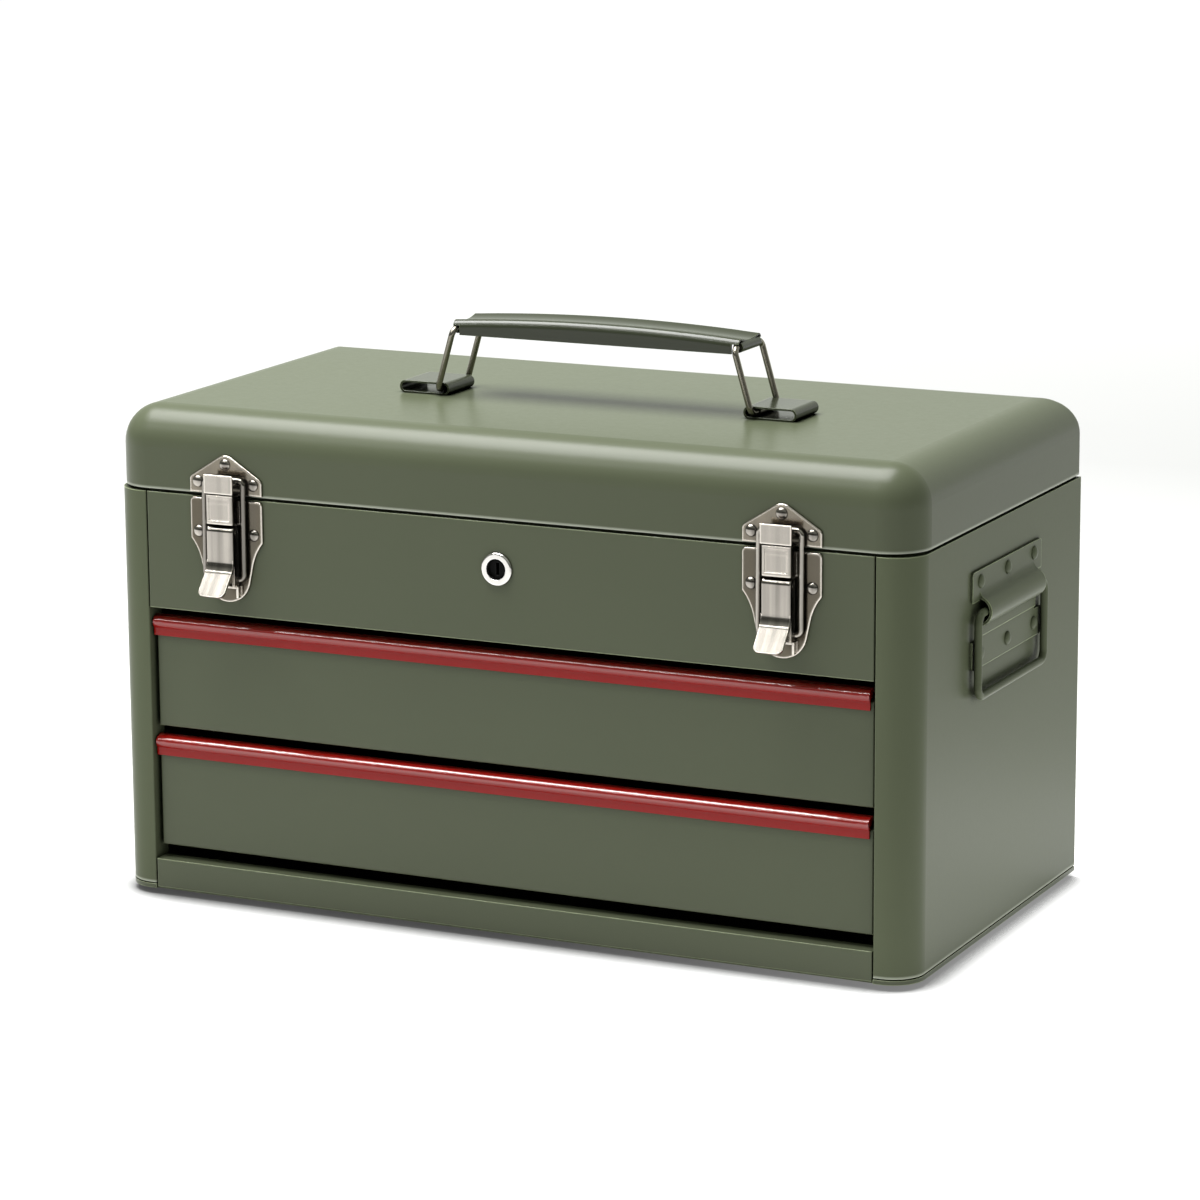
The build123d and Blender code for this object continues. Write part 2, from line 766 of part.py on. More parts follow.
def lock_keeper():
    """The bracket inside the lid whose ledge lies under the cam when it is turned."""
    right = keeper_x + keeper_width
    skirt_y = front_y + sheet + weld_gap
    plate_low = lid_bottom + keeper_plate_lift
    plate_high = plate_low + keeper_plate_height
    back = front_y + keeper_inset + keeper_sheet
    foot = lid_bottom - keeper_drop
    keeper = block(keeper_x, right, skirt_y, skirt_y + keeper_sheet, plate_low, plate_high)
    keeper += block(keeper_x, right, skirt_y, back, plate_low, plate_low + keeper_sheet)
    keeper += block(keeper_x, right, front_y + keeper_inset, back, foot, plate_low + keeper_sheet)
    ledge = block(keeper_x, right, back - keeper_sheet, back + keeper_ledge, foot, foot + keeper_sheet)
    return keeper + ledge


# Latches, made for the right one

def out(distance):
    """The Y of a point this far in front of the apron."""
    return front_y - distance


def latch_plate_solid(outline):
    """A plate from an outline of X and Z points on the front of the case."""
    plate = Pos(latch_x, front_y, 0) * extrude(Plane.XZ * outline, amount=latch_plate)
    return fillet(plate.edges().group_by(Axis.Y)[0], latch_edge_radius)


def latch_strike():
    """The strike on the lid: a five-sided plate and a hook with an open top for the bail."""
    half = latch_width / 2
    shoulder = strike_apex - strike_shoulder
    corners = [(-half, strike_bottom), (half, strike_bottom), (half, shoulder),
               (0, strike_apex), (-half, shoulder)]
    outline = make_face(Polyline(*corners, close=True))
    outline = fillet(outline.vertices().group_by(Axis.Y)[1], strike_corner_radius)
    outline = fillet(outline.vertices().sort_by(Axis.Y)[-1], strike_apex_radius)
    strike = latch_plate_solid(outline)
    left = latch_x - hook_width / 2
    right = latch_x + hook_width / 2
    floor = bail_bar_z - bail_radius - bail_clearance
    lip_back = out(bail_bar_out + bail_radius + bail_bar_play)
    lip_front = lip_back - hook_sheet
    strike += block(left, right, lip_front, out(latch_plate), floor - hook_sheet, floor)
    strike += block(left, right, lip_front, lip_back, strike_bottom + hook_lift, floor + hook_lip)
    for x, z in strike_rivet_places():
        strike -= facing_front(x, front_y, z) * rivet_hole(overrun)
    return strike


def latch_base():
    """The base plate on the apron with its bridge and the two ears of the lever."""
    half = latch_width / 2
    top = base_plate_top
    shoulder = (half, top - base_plate_shoulder)
    neck = (base_plate_neck_half, base_plate_bottom + base_plate_neck_rise)
    foot = (base_plate_foot_half, base_plate_bottom + base_plate_foot_rise)
    upward_slant = (neck[0] - foot[0], neck[1] - foot[1])
    with BuildSketch() as outline:
        with BuildLine():
            Polyline((0, top), (half, top), shoulder)
            TangentArc(neck, shoulder, tangent=upward_slant)
            Line(neck, foot)
            mirror(about=Plane.YZ)
            ThreePointArc(foot, (0, base_plate_bottom), (-foot[0], foot[1]))
        make_face()
        fillet(outline.vertices().group_by(Axis.Y)[-1].filter_by(lambda v: abs(v.X) > latch_edge_gap),
               base_plate_corner_radius)
    base = latch_plate_solid(outline.sketch)
    base += lever_bridge() + lever_rest() + lever_ear() + mirror(lever_ear(), about=Plane.YZ.offset(latch_x))
    for x, z in base_rivet_places():
        base -= facing_front(x, front_y, z) * rivet_hole(overrun)
    return base


def lever_bridge():
    """The raised channel of the base plate, above the lever."""
    half = lever_width / 2
    shell = block(latch_x - half, latch_x + half, out(lever_front), out(latch_plate),
                  bridge_bottom, bridge_top)
    shell = fillet(shell.edges().filter_by(Axis.Z).group_by(Axis.Y)[0], lever_sheet)
    hollow_half = half - lever_sheet
    hollow_top = base_plate_top - lever_sheet
    shell -= block(latch_x - hollow_half, latch_x + hollow_half, out(lever_front - lever_sheet), front_y,
                   bridge_bottom - overrun, hollow_top)
    panel_half = half - bridge_panel_inset
    panel = block(latch_x - panel_half, latch_x + panel_half,
                  out(lever_front), out(lever_front - bridge_panel_depth),
                  bridge_bottom + bridge_panel_inset, bridge_top - bridge_panel_inset)
    return shell - panel


def lever_rest():
    """The small bracket on the base plate that the closed lever rests over."""
    low = rest_top - rest_height
    rest = block(latch_x - rest_half, latch_x + rest_half, out(rest_out), out(latch_plate), low, rest_top)
    inner = rest_half - rest_sheet
    return rest - block(latch_x - inner, latch_x + inner, out(rest_out + overrun), out(latch_plate),
                        low - overrun, rest_top - rest_sheet)


def lever_ear():
    """The right ear of the base plate that carries the lever pin."""
    outer = latch_x + lever_width / 2 - lever_sheet - lever_ear_gap
    inner = outer - lever_ear_sheet
    low = lever_pivot_z - lever_ear_radius
    high = lever_pivot_z + lever_ear_radius
    ear = block(inner, outer, out(lever_pivot_out), out(latch_plate), low, high)
    ear += rod_x(inner, outer, out(lever_pivot_out), lever_pivot_z, lever_ear_radius)
    bore = lever_pin_radius + weld_gap
    return ear - rod_x(inner - overrun, outer + overrun, out(lever_pivot_out), lever_pivot_z, bore)


def lever_pin():
    """The pin through the ears and the lever."""
    half = lever_width / 2
    return rod_x(latch_x - half, latch_x + half, out(lever_pivot_out), lever_pivot_z, lever_pin_radius)


def latch_lever():
    """The lever: a channel with a flared thumb tab, pinned at the top to the base plate."""
    half = lever_width / 2
    bend = lever_top - lever_straight
    tail = bail_pivot_z - lever_tail
    channel = block(latch_x - half, latch_x + half, out(lever_front), out(lever_back), tail, lever_top)
    front_edge = channel.edges().filter_by(Axis.X).group_by(Axis.Z)[-1].sort_by(Axis.Y)[0]
    channel = fillet(front_edge, lever_head_radius)
    back_edge = channel.edges().filter_by(Axis.X).group_by(Axis.Z)[-1].sort_by(Axis.Y)[-1]
    channel = fillet(back_edge, lever_heel_radius)
    channel = fillet(channel.edges().filter_by(Axis.Z).group_by(Axis.Y)[0], lever_edge_radius)
    hollow_half = half - lever_sheet
    inner_front = out(lever_front - lever_sheet)
    channel -= block(latch_x - hollow_half, latch_x + hollow_half, inner_front, front_y,
                     tail - overrun, lever_top + overrun)
    channel -= block(latch_x - half - overrun, latch_x + half + overrun,
                     out(lever_front + overrun), inner_front, tail - overrun, bend)
    for y, z, radius in ((out(lever_pivot_out), lever_pivot_z, lever_pin_radius + lever_pin_clearance),
                         (out(bail_pivot_out), bail_pivot_z, bail_radius + bail_clearance)):
        channel -= rod_x(latch_x - half - overrun, latch_x + half + overrun, y, z, radius)
    return channel + thumb_tab(bend)


def thumb_tab(bend):
    """The tab at the foot of the lever: a bend and a straight flare with round corners."""
    centre_y = out(lever_front + lever_tab_bend)
    outer = lever_tab_bend + lever_tab_sheet
    turn = math.radians(lever_tab_angle)
    reach_y = -lever_tab_length * math.sin(turn)
    reach_z = -lever_tab_length * math.cos(turn)
    with BuildPart() as tab:
        with BuildSketch(Plane.YZ):
            with BuildLine():
                inside = CenterArc((centre_y, bend), lever_tab_bend, 0, -lever_tab_angle)
                outside = CenterArc((centre_y, bend), outer, 0, -lever_tab_angle)
                front_tip = (inside @ 1) + Vector(reach_y, reach_z)
                back_tip = (outside @ 1) + Vector(reach_y, reach_z)
                Line(inside @ 0, outside @ 0)
                Polyline(inside @ 1, front_tip, back_tip, outside @ 1)
            make_face()
        extrude(amount=lever_width / 2, both=True)
    tip_edges = [edge for edge in tab.edges() if is_tip(edge, front_tip.Y)]
    return Pos(latch_x, 0, 0) * fillet(tip_edges, lever_tab_corner_radius)


def is_tip(edge, tip_z):
    """True for the short corner edges at the tip of the thumb tab."""
    side = math.isclose(abs(edge.center().X), lever_width / 2, abs_tol=weld_gap)
    short = math.isclose(edge.length, lever_tab_sheet, abs_tol=weld_gap)
    return side and short and edge.center().Z < tip_z + lever_tab_sheet


def latch_bail():
    """The wire bail: a bar in the hook, two legs and stubs that turn in the lever."""
    leg = bail_spread / 2
    stub = lever_width / 2 - lever_sheet - bail_stub_reach
    foot_y = out(bail_pivot_out)
    bar_y = out(bail_bar_out)
    points = [(latch_x - stub, foot_y, bail_pivot_z), (latch_x - leg, foot_y, bail_pivot_z),
              (latch_x - leg, bar_y, bail_bar_z), (latch_x + leg, bar_y, bail_bar_z),
              (latch_x + leg, foot_y, bail_pivot_z), (latch_x + stub, foot_y, bail_pivot_z)]
    return wire_along(points, bail_bend_radius, bail_radius)


# Top handle, made for the right end

def handle_link():
    """A closed wire ring between the grip and a clip."""
    half = handle_ring_width / 2
    points = [(handle_foot_x, 0, handle_foot_z), (handle_foot_x, half, handle_foot_z),
              (handle_top_x, half, handle_top_z), (handle_top_x, 0, handle_top_z)]
    half_ring = wire_along(points, handle_bend_radius, handle_wire_radius)
    return half_ring + mirror(half_ring, about=Plane.XZ)


def handle_sleeve():
    """The sleeve on the lower bar of a ring that slides in its clip."""
    bore = handle_wire_radius + sleeve_clearance
    half = sleeve_length / 2
    sleeve = rod_y(handle_foot_x, -half, half, handle_foot_z, bore + sleeve_wall)
    return sleeve - rod_y(handle_foot_x, -half - overrun, half + overrun, handle_foot_z, bore)


def handle_clip():
    """A flattened loop of sheet on the lid, open in front and behind."""
    half = clip_length / 2
    height = clip_inner_height + 2 * clip_sheet
    outer = block(clip_inner_x, clip_outer_x, -half, half, lid_top, lid_top + height)
    outer = fillet(outer.edges().filter_by(Axis.Y), height / 2 - weld_gap)
    slot = block(clip_inner_x + clip_sheet, clip_outer_x - clip_sheet, -half - overrun, half + overrun,
                 lid_top + clip_sheet, lid_top + clip_sheet + clip_inner_height)
    slot = fillet(slot.edges().filter_by(Axis.Y), clip_inner_height / 2 - weld_gap)
    clip = outer - slot
    for x, y in clip_rivet_places():
        clip -= Pos(x, y, lid_top) * rivet_hole(overrun)
    return clip


def clip_rivets(side):
    """The two flush rivets of a clip, in the floor of its loop."""
    top = lid_top + clip_sheet
    grip = clip_sheet + sheet
    shank = Pos(0, 0, -grip) * Cylinder(rivet_radius, grip, align=upward)
    tail = Pos(0, 0, -grip - rivet_tail_height) * Cylinder(rivet_tail_radius, rivet_tail_height, align=upward)
    return [Pos(side * x, y, top) * (shank + tail) for x, y in clip_rivet_places()]


def handle_grip():
    """The grip: a steel channel with an arched, dished top and a curl round each upper bar."""
    end = handle_top_x + grip_end_reach
    rim_z = handle_top_z + grip_rim_lift
    path = ThreePointArc((-end, 0, rim_z - grip_arch), (0, 0, rim_z), (end, 0, rim_z - grip_arch))
    section_plane = Plane(origin=path @ 0, x_dir=(0, 1, 0), z_dir=path % 0)
    channel = sweep(section_plane * grip_section(), path=path)
    skirt_end = handle_top_x - grip_skirt_gap
    half = grip_width / 2 + overrun
    open_top = handle_top_z + handle_wire_radius + grip_end_lift
    low = handle_top_z - 2 * grip_skirt
    beyond = block(skirt_end, end + overrun, -half, half, low, open_top)
    below = block(-end - overrun, end + overrun, -half, half, low, rim_z - grip_skirt)
    channel -= beyond + mirrored(beyond) + below
    lug = grip_lug()
    return channel + lug + mirrored(lug)


def grip_section():
    """The section of the grip: a dished sheet with rolled rims and straight skirts."""
    half = grip_width / 2
    rim_y = half - grip_rim_radius
    inside = half - grip_sheet
    with BuildSketch() as section:
        with BuildLine():
            Line((half, -grip_rim_radius), (half, -grip_skirt))
            Line((half, -grip_skirt), (inside, -grip_skirt))
            Line((inside, -grip_skirt), (inside, -grip_rim_radius))
            TangentArc((rim_y, 0), (half, -grip_rim_radius), tangent=(1, 0))
            TangentArc((inside, -grip_rim_radius), (rim_y, -grip_sheet), tangent=(0, 1))
            mirror(about=Plane.YZ)
            ThreePointArc((-rim_y, 0), (0, -grip_dish), (rim_y, 0))
            ThreePointArc((-rim_y, -grip_sheet), (0, -grip_dish - grip_sheet), (rim_y, -grip_sheet))
        make_face()
    return section.sketch


def grip_lug():
    """The curl at the right end of the grip that holds the upper bar of the ring."""
    half = grip_lug_width / 2
    bore = handle_wire_radius + wire_clearance
    lug = rod_y(handle_top_x, -half, half, handle_top_z, bore + grip_lug_wall)
    return lug - rod_y(handle_top_x, -half - overrun, half + overrun, handle_top_z, bore)


# Side handles, made for the right side

def side_handle_plate():
    """The plate of a side handle with the round bulge that holds the ring."""
    half = side_handle_width / 2
    face = half_width + side_plate
    low_y = side_handle_y - half
    high_y = side_handle_y + half
    plate = block(half_width, face, low_y, high_y,
                  side_pivot_height - side_plate_fall, side_pivot_height + side_plate_rise)
    plate = fillet(plate.edges().filter_by(Axis.X), side_plate_corner_radius)
    plate -= block(half_width - overrun, face + overrun, low_y - overrun, high_y + overrun,
                   side_pivot_height - side_slot_fall, side_pivot_height + side_slot_rise)
    bulge_low = side_handle_y - side_bulge_length / 2
    bulge_high = side_handle_y + side_bulge_length / 2
    bulge = rod_y(half_width, bulge_low, bulge_high, side_pivot_height, side_bulge_radius)
    bulge -= rod_y(half_width, bulge_low - overrun, bulge_high + overrun, side_pivot_height,
                   side_bulge_radius - side_plate)
    bulge &= block(half_width, half_width + side_bulge_radius, bulge_low, bulge_high,
                   side_pivot_height - side_bulge_radius, side_pivot_height + side_bulge_radius)
    plate += bulge
    plate += side_bulge_roots(bulge_low, bulge_high)
    for y, z in side_rivet_places():
        plate -= facing_right(half_width, y, z) * rivet_hole(overrun)
    return plate


def side_bulge_roots(bulge_low, bulge_high):
    """The blend above the bulge and the strip below it that join it to the plate."""
    inner = side_bulge_radius - side_plate
    blend_out = side_plate + side_bulge_blend
    blend_reach = side_bulge_radius + side_bulge_blend
    blend_rise = math.sqrt(blend_reach ** 2 - blend_out ** 2)
    touch_out = blend_out * side_bulge_radius / blend_reach
    above = block(half_width, half_width + touch_out, bulge_low, bulge_high,
                  side_pivot_height, side_pivot_height + blend_rise)
    above -= rod_y(half_width + blend_out, bulge_low - overrun, bulge_high + overrun,
                   side_pivot_height + blend_rise, side_bulge_blend)
    strip_low = side_pivot_height - side_bulge_radius - side_strip_height
    strip = block(half_width, half_width + side_plate + side_strip_sheet, bulge_low, bulge_high,
                  strip_low, side_pivot_height - inner)
    strip += block(half_width, half_width + side_plate, bulge_low, bulge_high,
                   side_pivot_height - side_slot_fall - side_plate, strip_low)
    hollow = rod_y(half_width, bulge_low - overrun, bulge_high + overrun, side_pivot_height, inner)
    return (above + strip) - hollow


def side_handle_ring():
    """The closed wire ring of a side handle, hanging down."""
    x = half_width + side_pivot_out
    half = side_ring_width / 2
    low = side_pivot_height - side_ring_drop
    points = [(x, side_handle_y, side_pivot_height), (x, side_handle_y + half, side_pivot_height),
              (x, side_handle_y + half, low), (x, side_handle_y, low)]
    half_ring = wire_along(points, side_ring_bend_radius, side_ring_wire_radius)
    return half_ring + mirror(half_ring, about=Plane.XZ.offset(-side_handle_y))


def side_handle_rivets():
    """The six rivets of the right side handle."""
    grip = side_plate + sheet
    place = half_width + side_plate
    head = rivet(grip, side_rivet_head_radius, side_rivet_head_height)
    return [facing_right(place, y, z) * head for y, z in side_rivet_places()]


def make_case():
    both_sides("side_panel", side_panel())
    keep("back_panel", back_panel())
    keep("front_apron", front_apron())
    keep("base_pan", base_pan())
    keep("base_rail", base_rail())
    keep("well_floor", well_floor())
    both_sides("upper_runner", runner(upper_drawer_bottom))
    both_sides("lower_runner", runner(lower_drawer_bottom))


def make_drawers():
    for name, bottom in (("upper_drawer", upper_drawer_bottom), ("lower_drawer", lower_drawer_bottom)):
        keep(name + "_tray", drawer_tray(bottom))
        keep(name + "_front", drawer_front(bottom))
        keep(name + "_pull", drawer_pull(bottom))


def make_lid_and_hinge():
    keep("lid_shell", lid_shell())
    keep("hinge_leaf_case", hinge_leaf_case())
    keep("hinge_leaf_lid", hinge_leaf_lid())
    keep("hinge_pin", hinge_pin())
    keep("hinge_rivets_case", *hinge_rivets(hinge_z - hinge_leaf_height / 2))
    keep("hinge_rivets_lid", *hinge_rivets(hinge_z + hinge_leaf_height / 2))


def make_lock():
    keep("lock_bezel", lock_bezel())
    keep("lock_nut", lock_nut())
    keep("lock_plug", lock_plug())
    keep("lock_cam", lock_cam())
    keep("lock_keeper", lock_keeper())


def make_latches():
    both_sides("latch_strike", latch_strike())
    both_sides("latch_base", latch_base())
    both_sides("latch_lever", latch_lever())
    both_sides("latch_bail", latch_bail())
    both_sides("latch_pin", lever_pin())
    grip = latch_plate + sheet
    place = front_y - latch_plate
    fixing = rivet(grip, latch_rivet_head_radius, latch_rivet_head_height)
    strike_rivets = [facing_front(x, place, z) * fixing for x, z in strike_rivet_places()]
    base_rivets = [facing_front(x, place, z) * fixing for x, z in base_rivet_places()]
    keep("strike_rivets_right", *strike_rivets)
    keep("strike_rivets_left", *[mirrored(piece) for piece in strike_rivets])
    keep("latch_rivets_right", *base_rivets)
    keep("latch_rivets_left", *[mirrored(piece) for piece in base_rivets])


def make_handles():
    place = Pos(handle_x, handle_y, 0)
    ends = {"handle_clip": handle_clip(), "handle_link": handle_link(), "handle_sleeve": handle_sleeve()}
    for name, piece in ends.items():
        keep(name + "_right", place * piece)
        keep(name + "_left", place * mirrored(piece))
    keep("handle_grip", place * handle_grip())
    fixings = clip_rivets(1) + clip_rivets(-1)
    keep("handle_clip_rivets", *[place * fixing for fixing in fixings])
    both_sides("side_handle_plate", side_handle_plate())
    both_sides("side_handle_ring", side_handle_ring())
    rivets = side_handle_rivets()
    keep("side_handle_rivets_right", *rivets)
    keep("side_handle_rivets_left", *[mirrored(piece) for piece in rivets])


def main():
    make_case()
    make_drawers()
    make_lid_and_hinge()
    make_lock()
    make_latches()
    make_handles()
    os.makedirs("parts", exist_ok=True)
    for name, shape in pieces.items():
        export_step(shape, os.path.join("parts", name + ".step"))
    print(len(pieces), "nodes")


main()
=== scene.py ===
"""Looks of a green steel tool chest: enamel, nickel, steel, rivets and a studio stage."""

import json
import math
from collections import namedtuple

import bpy
from mathutils import Matrix, Vector


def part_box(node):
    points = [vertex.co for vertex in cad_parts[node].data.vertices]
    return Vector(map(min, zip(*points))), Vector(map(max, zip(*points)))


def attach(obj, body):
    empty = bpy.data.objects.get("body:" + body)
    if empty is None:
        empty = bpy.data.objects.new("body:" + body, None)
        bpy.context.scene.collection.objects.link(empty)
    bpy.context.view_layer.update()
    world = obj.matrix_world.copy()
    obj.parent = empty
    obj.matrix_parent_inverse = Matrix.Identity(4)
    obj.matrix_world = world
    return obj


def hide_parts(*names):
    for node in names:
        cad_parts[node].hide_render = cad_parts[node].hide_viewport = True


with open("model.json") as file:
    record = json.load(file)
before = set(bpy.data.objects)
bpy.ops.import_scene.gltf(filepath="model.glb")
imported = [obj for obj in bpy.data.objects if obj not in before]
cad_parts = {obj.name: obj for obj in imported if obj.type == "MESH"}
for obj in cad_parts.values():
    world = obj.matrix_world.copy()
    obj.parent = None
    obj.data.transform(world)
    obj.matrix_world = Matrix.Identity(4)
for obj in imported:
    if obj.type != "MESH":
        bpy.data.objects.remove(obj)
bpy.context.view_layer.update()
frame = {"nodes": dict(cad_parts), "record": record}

bl_info = {
    "name": "Steel tool chest",
    "version": (1, 0, 0),
    "blender": (4, 5, 0),
    "location": "3D View > Sidebar > Chest",
    "description": "Dresses a steel tool chest in enamel, nickel and wire, on a studio stage",
    "category": "Object",
}

# Noise patterns, with the scale per metre

Pattern = namedtuple("Pattern", "scale detail rough")

CLOUDS = Pattern(scale=7.0, detail=3.0, rough=0.5)
DUST = Pattern(scale=260.0, detail=4.0, rough=0.7)
PEEL = Pattern(scale=1100.0, detail=1.0, rough=0.5)
TARNISH = Pattern(scale=90.0, detail=3.0, rough=0.5)
GRAIN = Pattern(scale=1.0, detail=3.0, rough=0.6)
STREAKS = Pattern(scale=1.0, detail=2.0, rough=0.5)
MOTTLE = Pattern(scale=3.0, detail=2.0, rough=0.5)
GRAIN_STRETCH = (60.0, 900.0, 900.0)
STREAK_STRETCH = (170.0, 0.0, 3.0)

# Ramps, as place and grey value

STREAK_STOPS = ((0.36, 0.0), (0.64, 1.0))
EDGE_STOPS = ((0.80, 1.0), (0.985, 0.0))
UNSHADED_STOPS = ((0.25, 0.0), (0.80, 1.0))

# Heights, radii and reaches of the finishes in metres

PEEL_HEIGHT = 0.0002
GRAIN_HEIGHT = 0.0001
ENAMEL_EDGE = 0.0010
ENAMEL_SOFTNESS = 0.0009
PLATE_SOFTNESS = 0.0006
RIM_SOFTNESS = 0.0020
ENAMEL_SHADE_REACH = 0.005
PLATE_SHADE_REACH = 0.006
FLAT_RISE = 0.0023
PROUD_RISE = 0.0050

# Shades of a finish, as multiples of its colour, and the white added along a hem: the clouding shades are the
# coat's own tone, the others give painted shade in crevices, painted highlights on edges, rims and hems, and
# painted reflection in dark streaks

PAINTED_CREVICE_SHADE = 0.05
ENAMEL_SHADES = (0.95, 1.05)
GLOSS_SHADES = (0.90, 1.10)
PLATE_SHADES = (0.88, 1.08)
RUBBED_HIGHLIGHT_SHADE = 6.0
BRIGHT_HIGHLIGHT_SHADE = 2.2
STREAK_REFLECTION_SHADE = 0.25
HEM_HIGHLIGHT_SHADE = 2.0
HEM_HIGHLIGHT_WHITE = 0.24

# Weights of the patterns in the enamel's wear and painted edge highlight, gloss and relief

WEAR_DUST, WEAR_LEAST = 0.5, 0.55
DULL_CLOUD, DULL_DUST, DULL_LEAST = 0.16, 0.26, 0.79
EDGE_POLISH = 0.20
RELIEF_DUST = 0.5
GLOSS_DUST, GLOSS_LEAST = 0.3, 0.85
COAT_IOR, COAT_ROUGHNESS = 1.8, 0.04

# Metal finishes

Plate = namedtuple("Plate", "roughness grain scratch streak rim")

BRIGHT_PLATE = Plate(roughness=0.13, grain=0.08, scratch=0.06, streak=0.75, rim=0.0012)
BASE_PLATE = Plate(roughness=0.20, grain=0.10, scratch=0.08, streak=0.3, rim=0.0020)
STRIKE_PLATE = BASE_PLATE._replace(roughness=0.18)
LOCK_PLATE = Plate(roughness=0.12, grain=0.06, scratch=0.04, streak=0.1, rim=0.0008)
DRAWN_WIRE = Plate(roughness=0.24, grain=0.10, scratch=0.14, streak=0.2, rim=0.0005)
ZINC_PLATE = Plate(roughness=0.42, grain=0.25, scratch=0.10, streak=0.2, rim=0.0012)
BLACK_STEEL = Plate(roughness=0.50, grain=0.10, scratch=0.10, streak=0.2, rim=0.0008)
GRAIN_STRENGTH = 0.06

# Rivets, and the distance in metres below which two points are one

RIVET_SEGMENTS = 24
SAME_POINT = 1e-5

# Studio: lamps with place and size, then the light of the room, then the paper's painted light and painted
# contact shadow

LIGHTS = (
    ("overhead", (-0.65, -0.15, 2.1), (1.8, 1.4)),
    ("front_top", (-1.05, -1.0, 2.1), (0.7, 0.4)),
    ("front_tube", (-1.2, -1.7, 2.1), (1.8, 0.07)),
)
WALL_STOPS = ((0.0, 0.10), (0.45, 0.20), (0.75, 0.50), (1.0, 0.95))
WALL_COLOUR = (0.96, 1.0, 0.91, 1.0)
CEILING_STOPS = ((0.30, 0.0), (0.60, 1.0))
CEILING_LIGHT = 0.45
# Paper: tone and mottle are its own; the rest is painted light and painted contact shadow.
PAPER_TONE = 0.50
PAPER_MOTTLE = 0.02
PAPER_PAINTED_GLOW = 0.17
FAR_PAINTED_GLOW = 0.60
FAR_RANGE = (1.4, 2.8)
PAINTED_LIGHT_POOLS = (((0.40, 0.05, 0.0), 1.25), ((-0.10, -0.35, 0.0), 0.25))
LIGHT_POOL_RANGE = (0.05, 0.48)
PAINTED_SHADOW_REACH = 0.024
PAINTED_SHADOW_STOPS = ((0.55, 0.22), (0.86, 1.0))


# Shader sums

class Shade:
    """A shader socket that takes part in Python sums."""

    def __init__(self, tree, socket=None):
        self.tree = tree
        self.socket = socket

    def node(self, kind, settings=None, inputs=None, output=0):
        """Add a node: its settings first, then the values or links of its sockets."""
        made = self.tree.nodes.new(kind)
        for name, value in (settings or {}).items():
            if name == "stops":
                set_stops(made.color_ramp, value)
            else:
                setattr(made, name, value)
        for name, value in (inputs or {}).items():
            if isinstance(value, Shade):
                self.tree.links.new(value.socket, made.inputs[name])
            else:
                made.inputs[name].default_value = value
        return Shade(self.tree, made.outputs[output])

    def combine(self, operation, first, second):
        """A Math node of two values."""
        return self.node("ShaderNodeMath", {"operation": operation}, {0: first, 1: second})

    def __add__(self, other):
        return self.combine("ADD", self, other)

    def __radd__(self, other):
        return self.combine("ADD", other, self)

    def __sub__(self, other):
        return self.combine("SUBTRACT", self, other)

    def __rsub__(self, other):
        return self.combine("SUBTRACT", other, self)

    def __mul__(self, other):
        return self.combine("MULTIPLY", self, other)

    def __rmul__(self, other):
        return self.combine("MULTIPLY", other, self)


def set_stops(band, stops):
    """Give a colour ramp its stops, as place and grey value."""
    while len(band.elements) < len(stops):
        band.elements.new(1.0)
    for element, (place, grey) in zip(band.elements, stops):
        element.position = place
        element.color = (grey, grey, grey, 1.0)


def new_finish(name):
    """A new material, its shader and the place where its sums start."""
    material = bpy.data.materials.new(name)
    material.use_nodes = True
    tree = material.node_tree
    shader = tree.nodes["Principled BSDF"]
    return material, shader, Shade(tree)


def link(shade, shader, name):
    """Lead a sum to a socket of the shader."""
    shade.tree.links.new(shade.socket, shader.inputs[name])


def paint_crevice_shade(shader, clear, colour):
    """Lead the finish to the surface in the open, and a dull dark coat, painted shade, into crevices and
    gaps.
    """
    tree = clear.tree
    dull = {"Base Color": tint(colour, PAINTED_CREVICE_SHADE), "Roughness": 1.0, "Specular IOR Level": 0.0}
    dark = clear.node("ShaderNodeBsdfPrincipled", {}, dull, "BSDF")
    finish = Shade(tree, shader.outputs["BSDF"])
    mixed = clear.node("ShaderNodeMixShader", {}, {0: clear, 1: dark, 2: finish})
    tree.links.new(mixed.socket, tree.nodes["Material Output"].inputs["Surface"])


def noise(start, place, pattern):
    """Grey noise of a pattern."""
    inputs = {"Vector": place, "Scale": pattern.scale, "Detail": pattern.detail, "Roughness": pattern.rough}
    return start.node("ShaderNodeTexNoise", {}, inputs, "Fac")


def stretched(start, place, stretch):
    """A place with each axis multiplied, so that noise there is drawn out."""
    return start.node("ShaderNodeMapping", {}, {"Vector": place, "Scale": stretch}, "Vector")


def ramp(start, value, stops):
    """A value led through the stops of a ramp."""
    return start.node("ShaderNodeValToRGB", {"stops": stops}, {"Fac": value}, "Color")


def blend_colour(start, share, first, second):
    """Two colours mixed by a share from 0 to 1."""
    inputs = {0: share, 6: first, 7: second}
    return start.node("ShaderNodeMix", {"data_type": "RGBA"}, inputs, 2)


def rounded_normal(start, radius):
    """The surface direction with edges softened by a small radius."""
    return start.node("ShaderNodeBevel", {"samples": 4}, {"Radius": radius}, "Normal")


def edge_share(start, radius):
    """One along the sheet's edges and zero on flat sheet; the edges are lightened there, partly as rubbed
    wear and partly as a painted highlight.
    """
    flat = start.node("ShaderNodeNewGeometry", output="Normal")
    soft = start.node("ShaderNodeBevel", {"samples": 6}, {"Radius": radius}, "Normal")
    facing = start.node("ShaderNodeVectorMath", {"operation": "DOT_PRODUCT"}, {0: flat, 1: soft}, "Value")
    return ramp(start, facing, EDGE_STOPS)


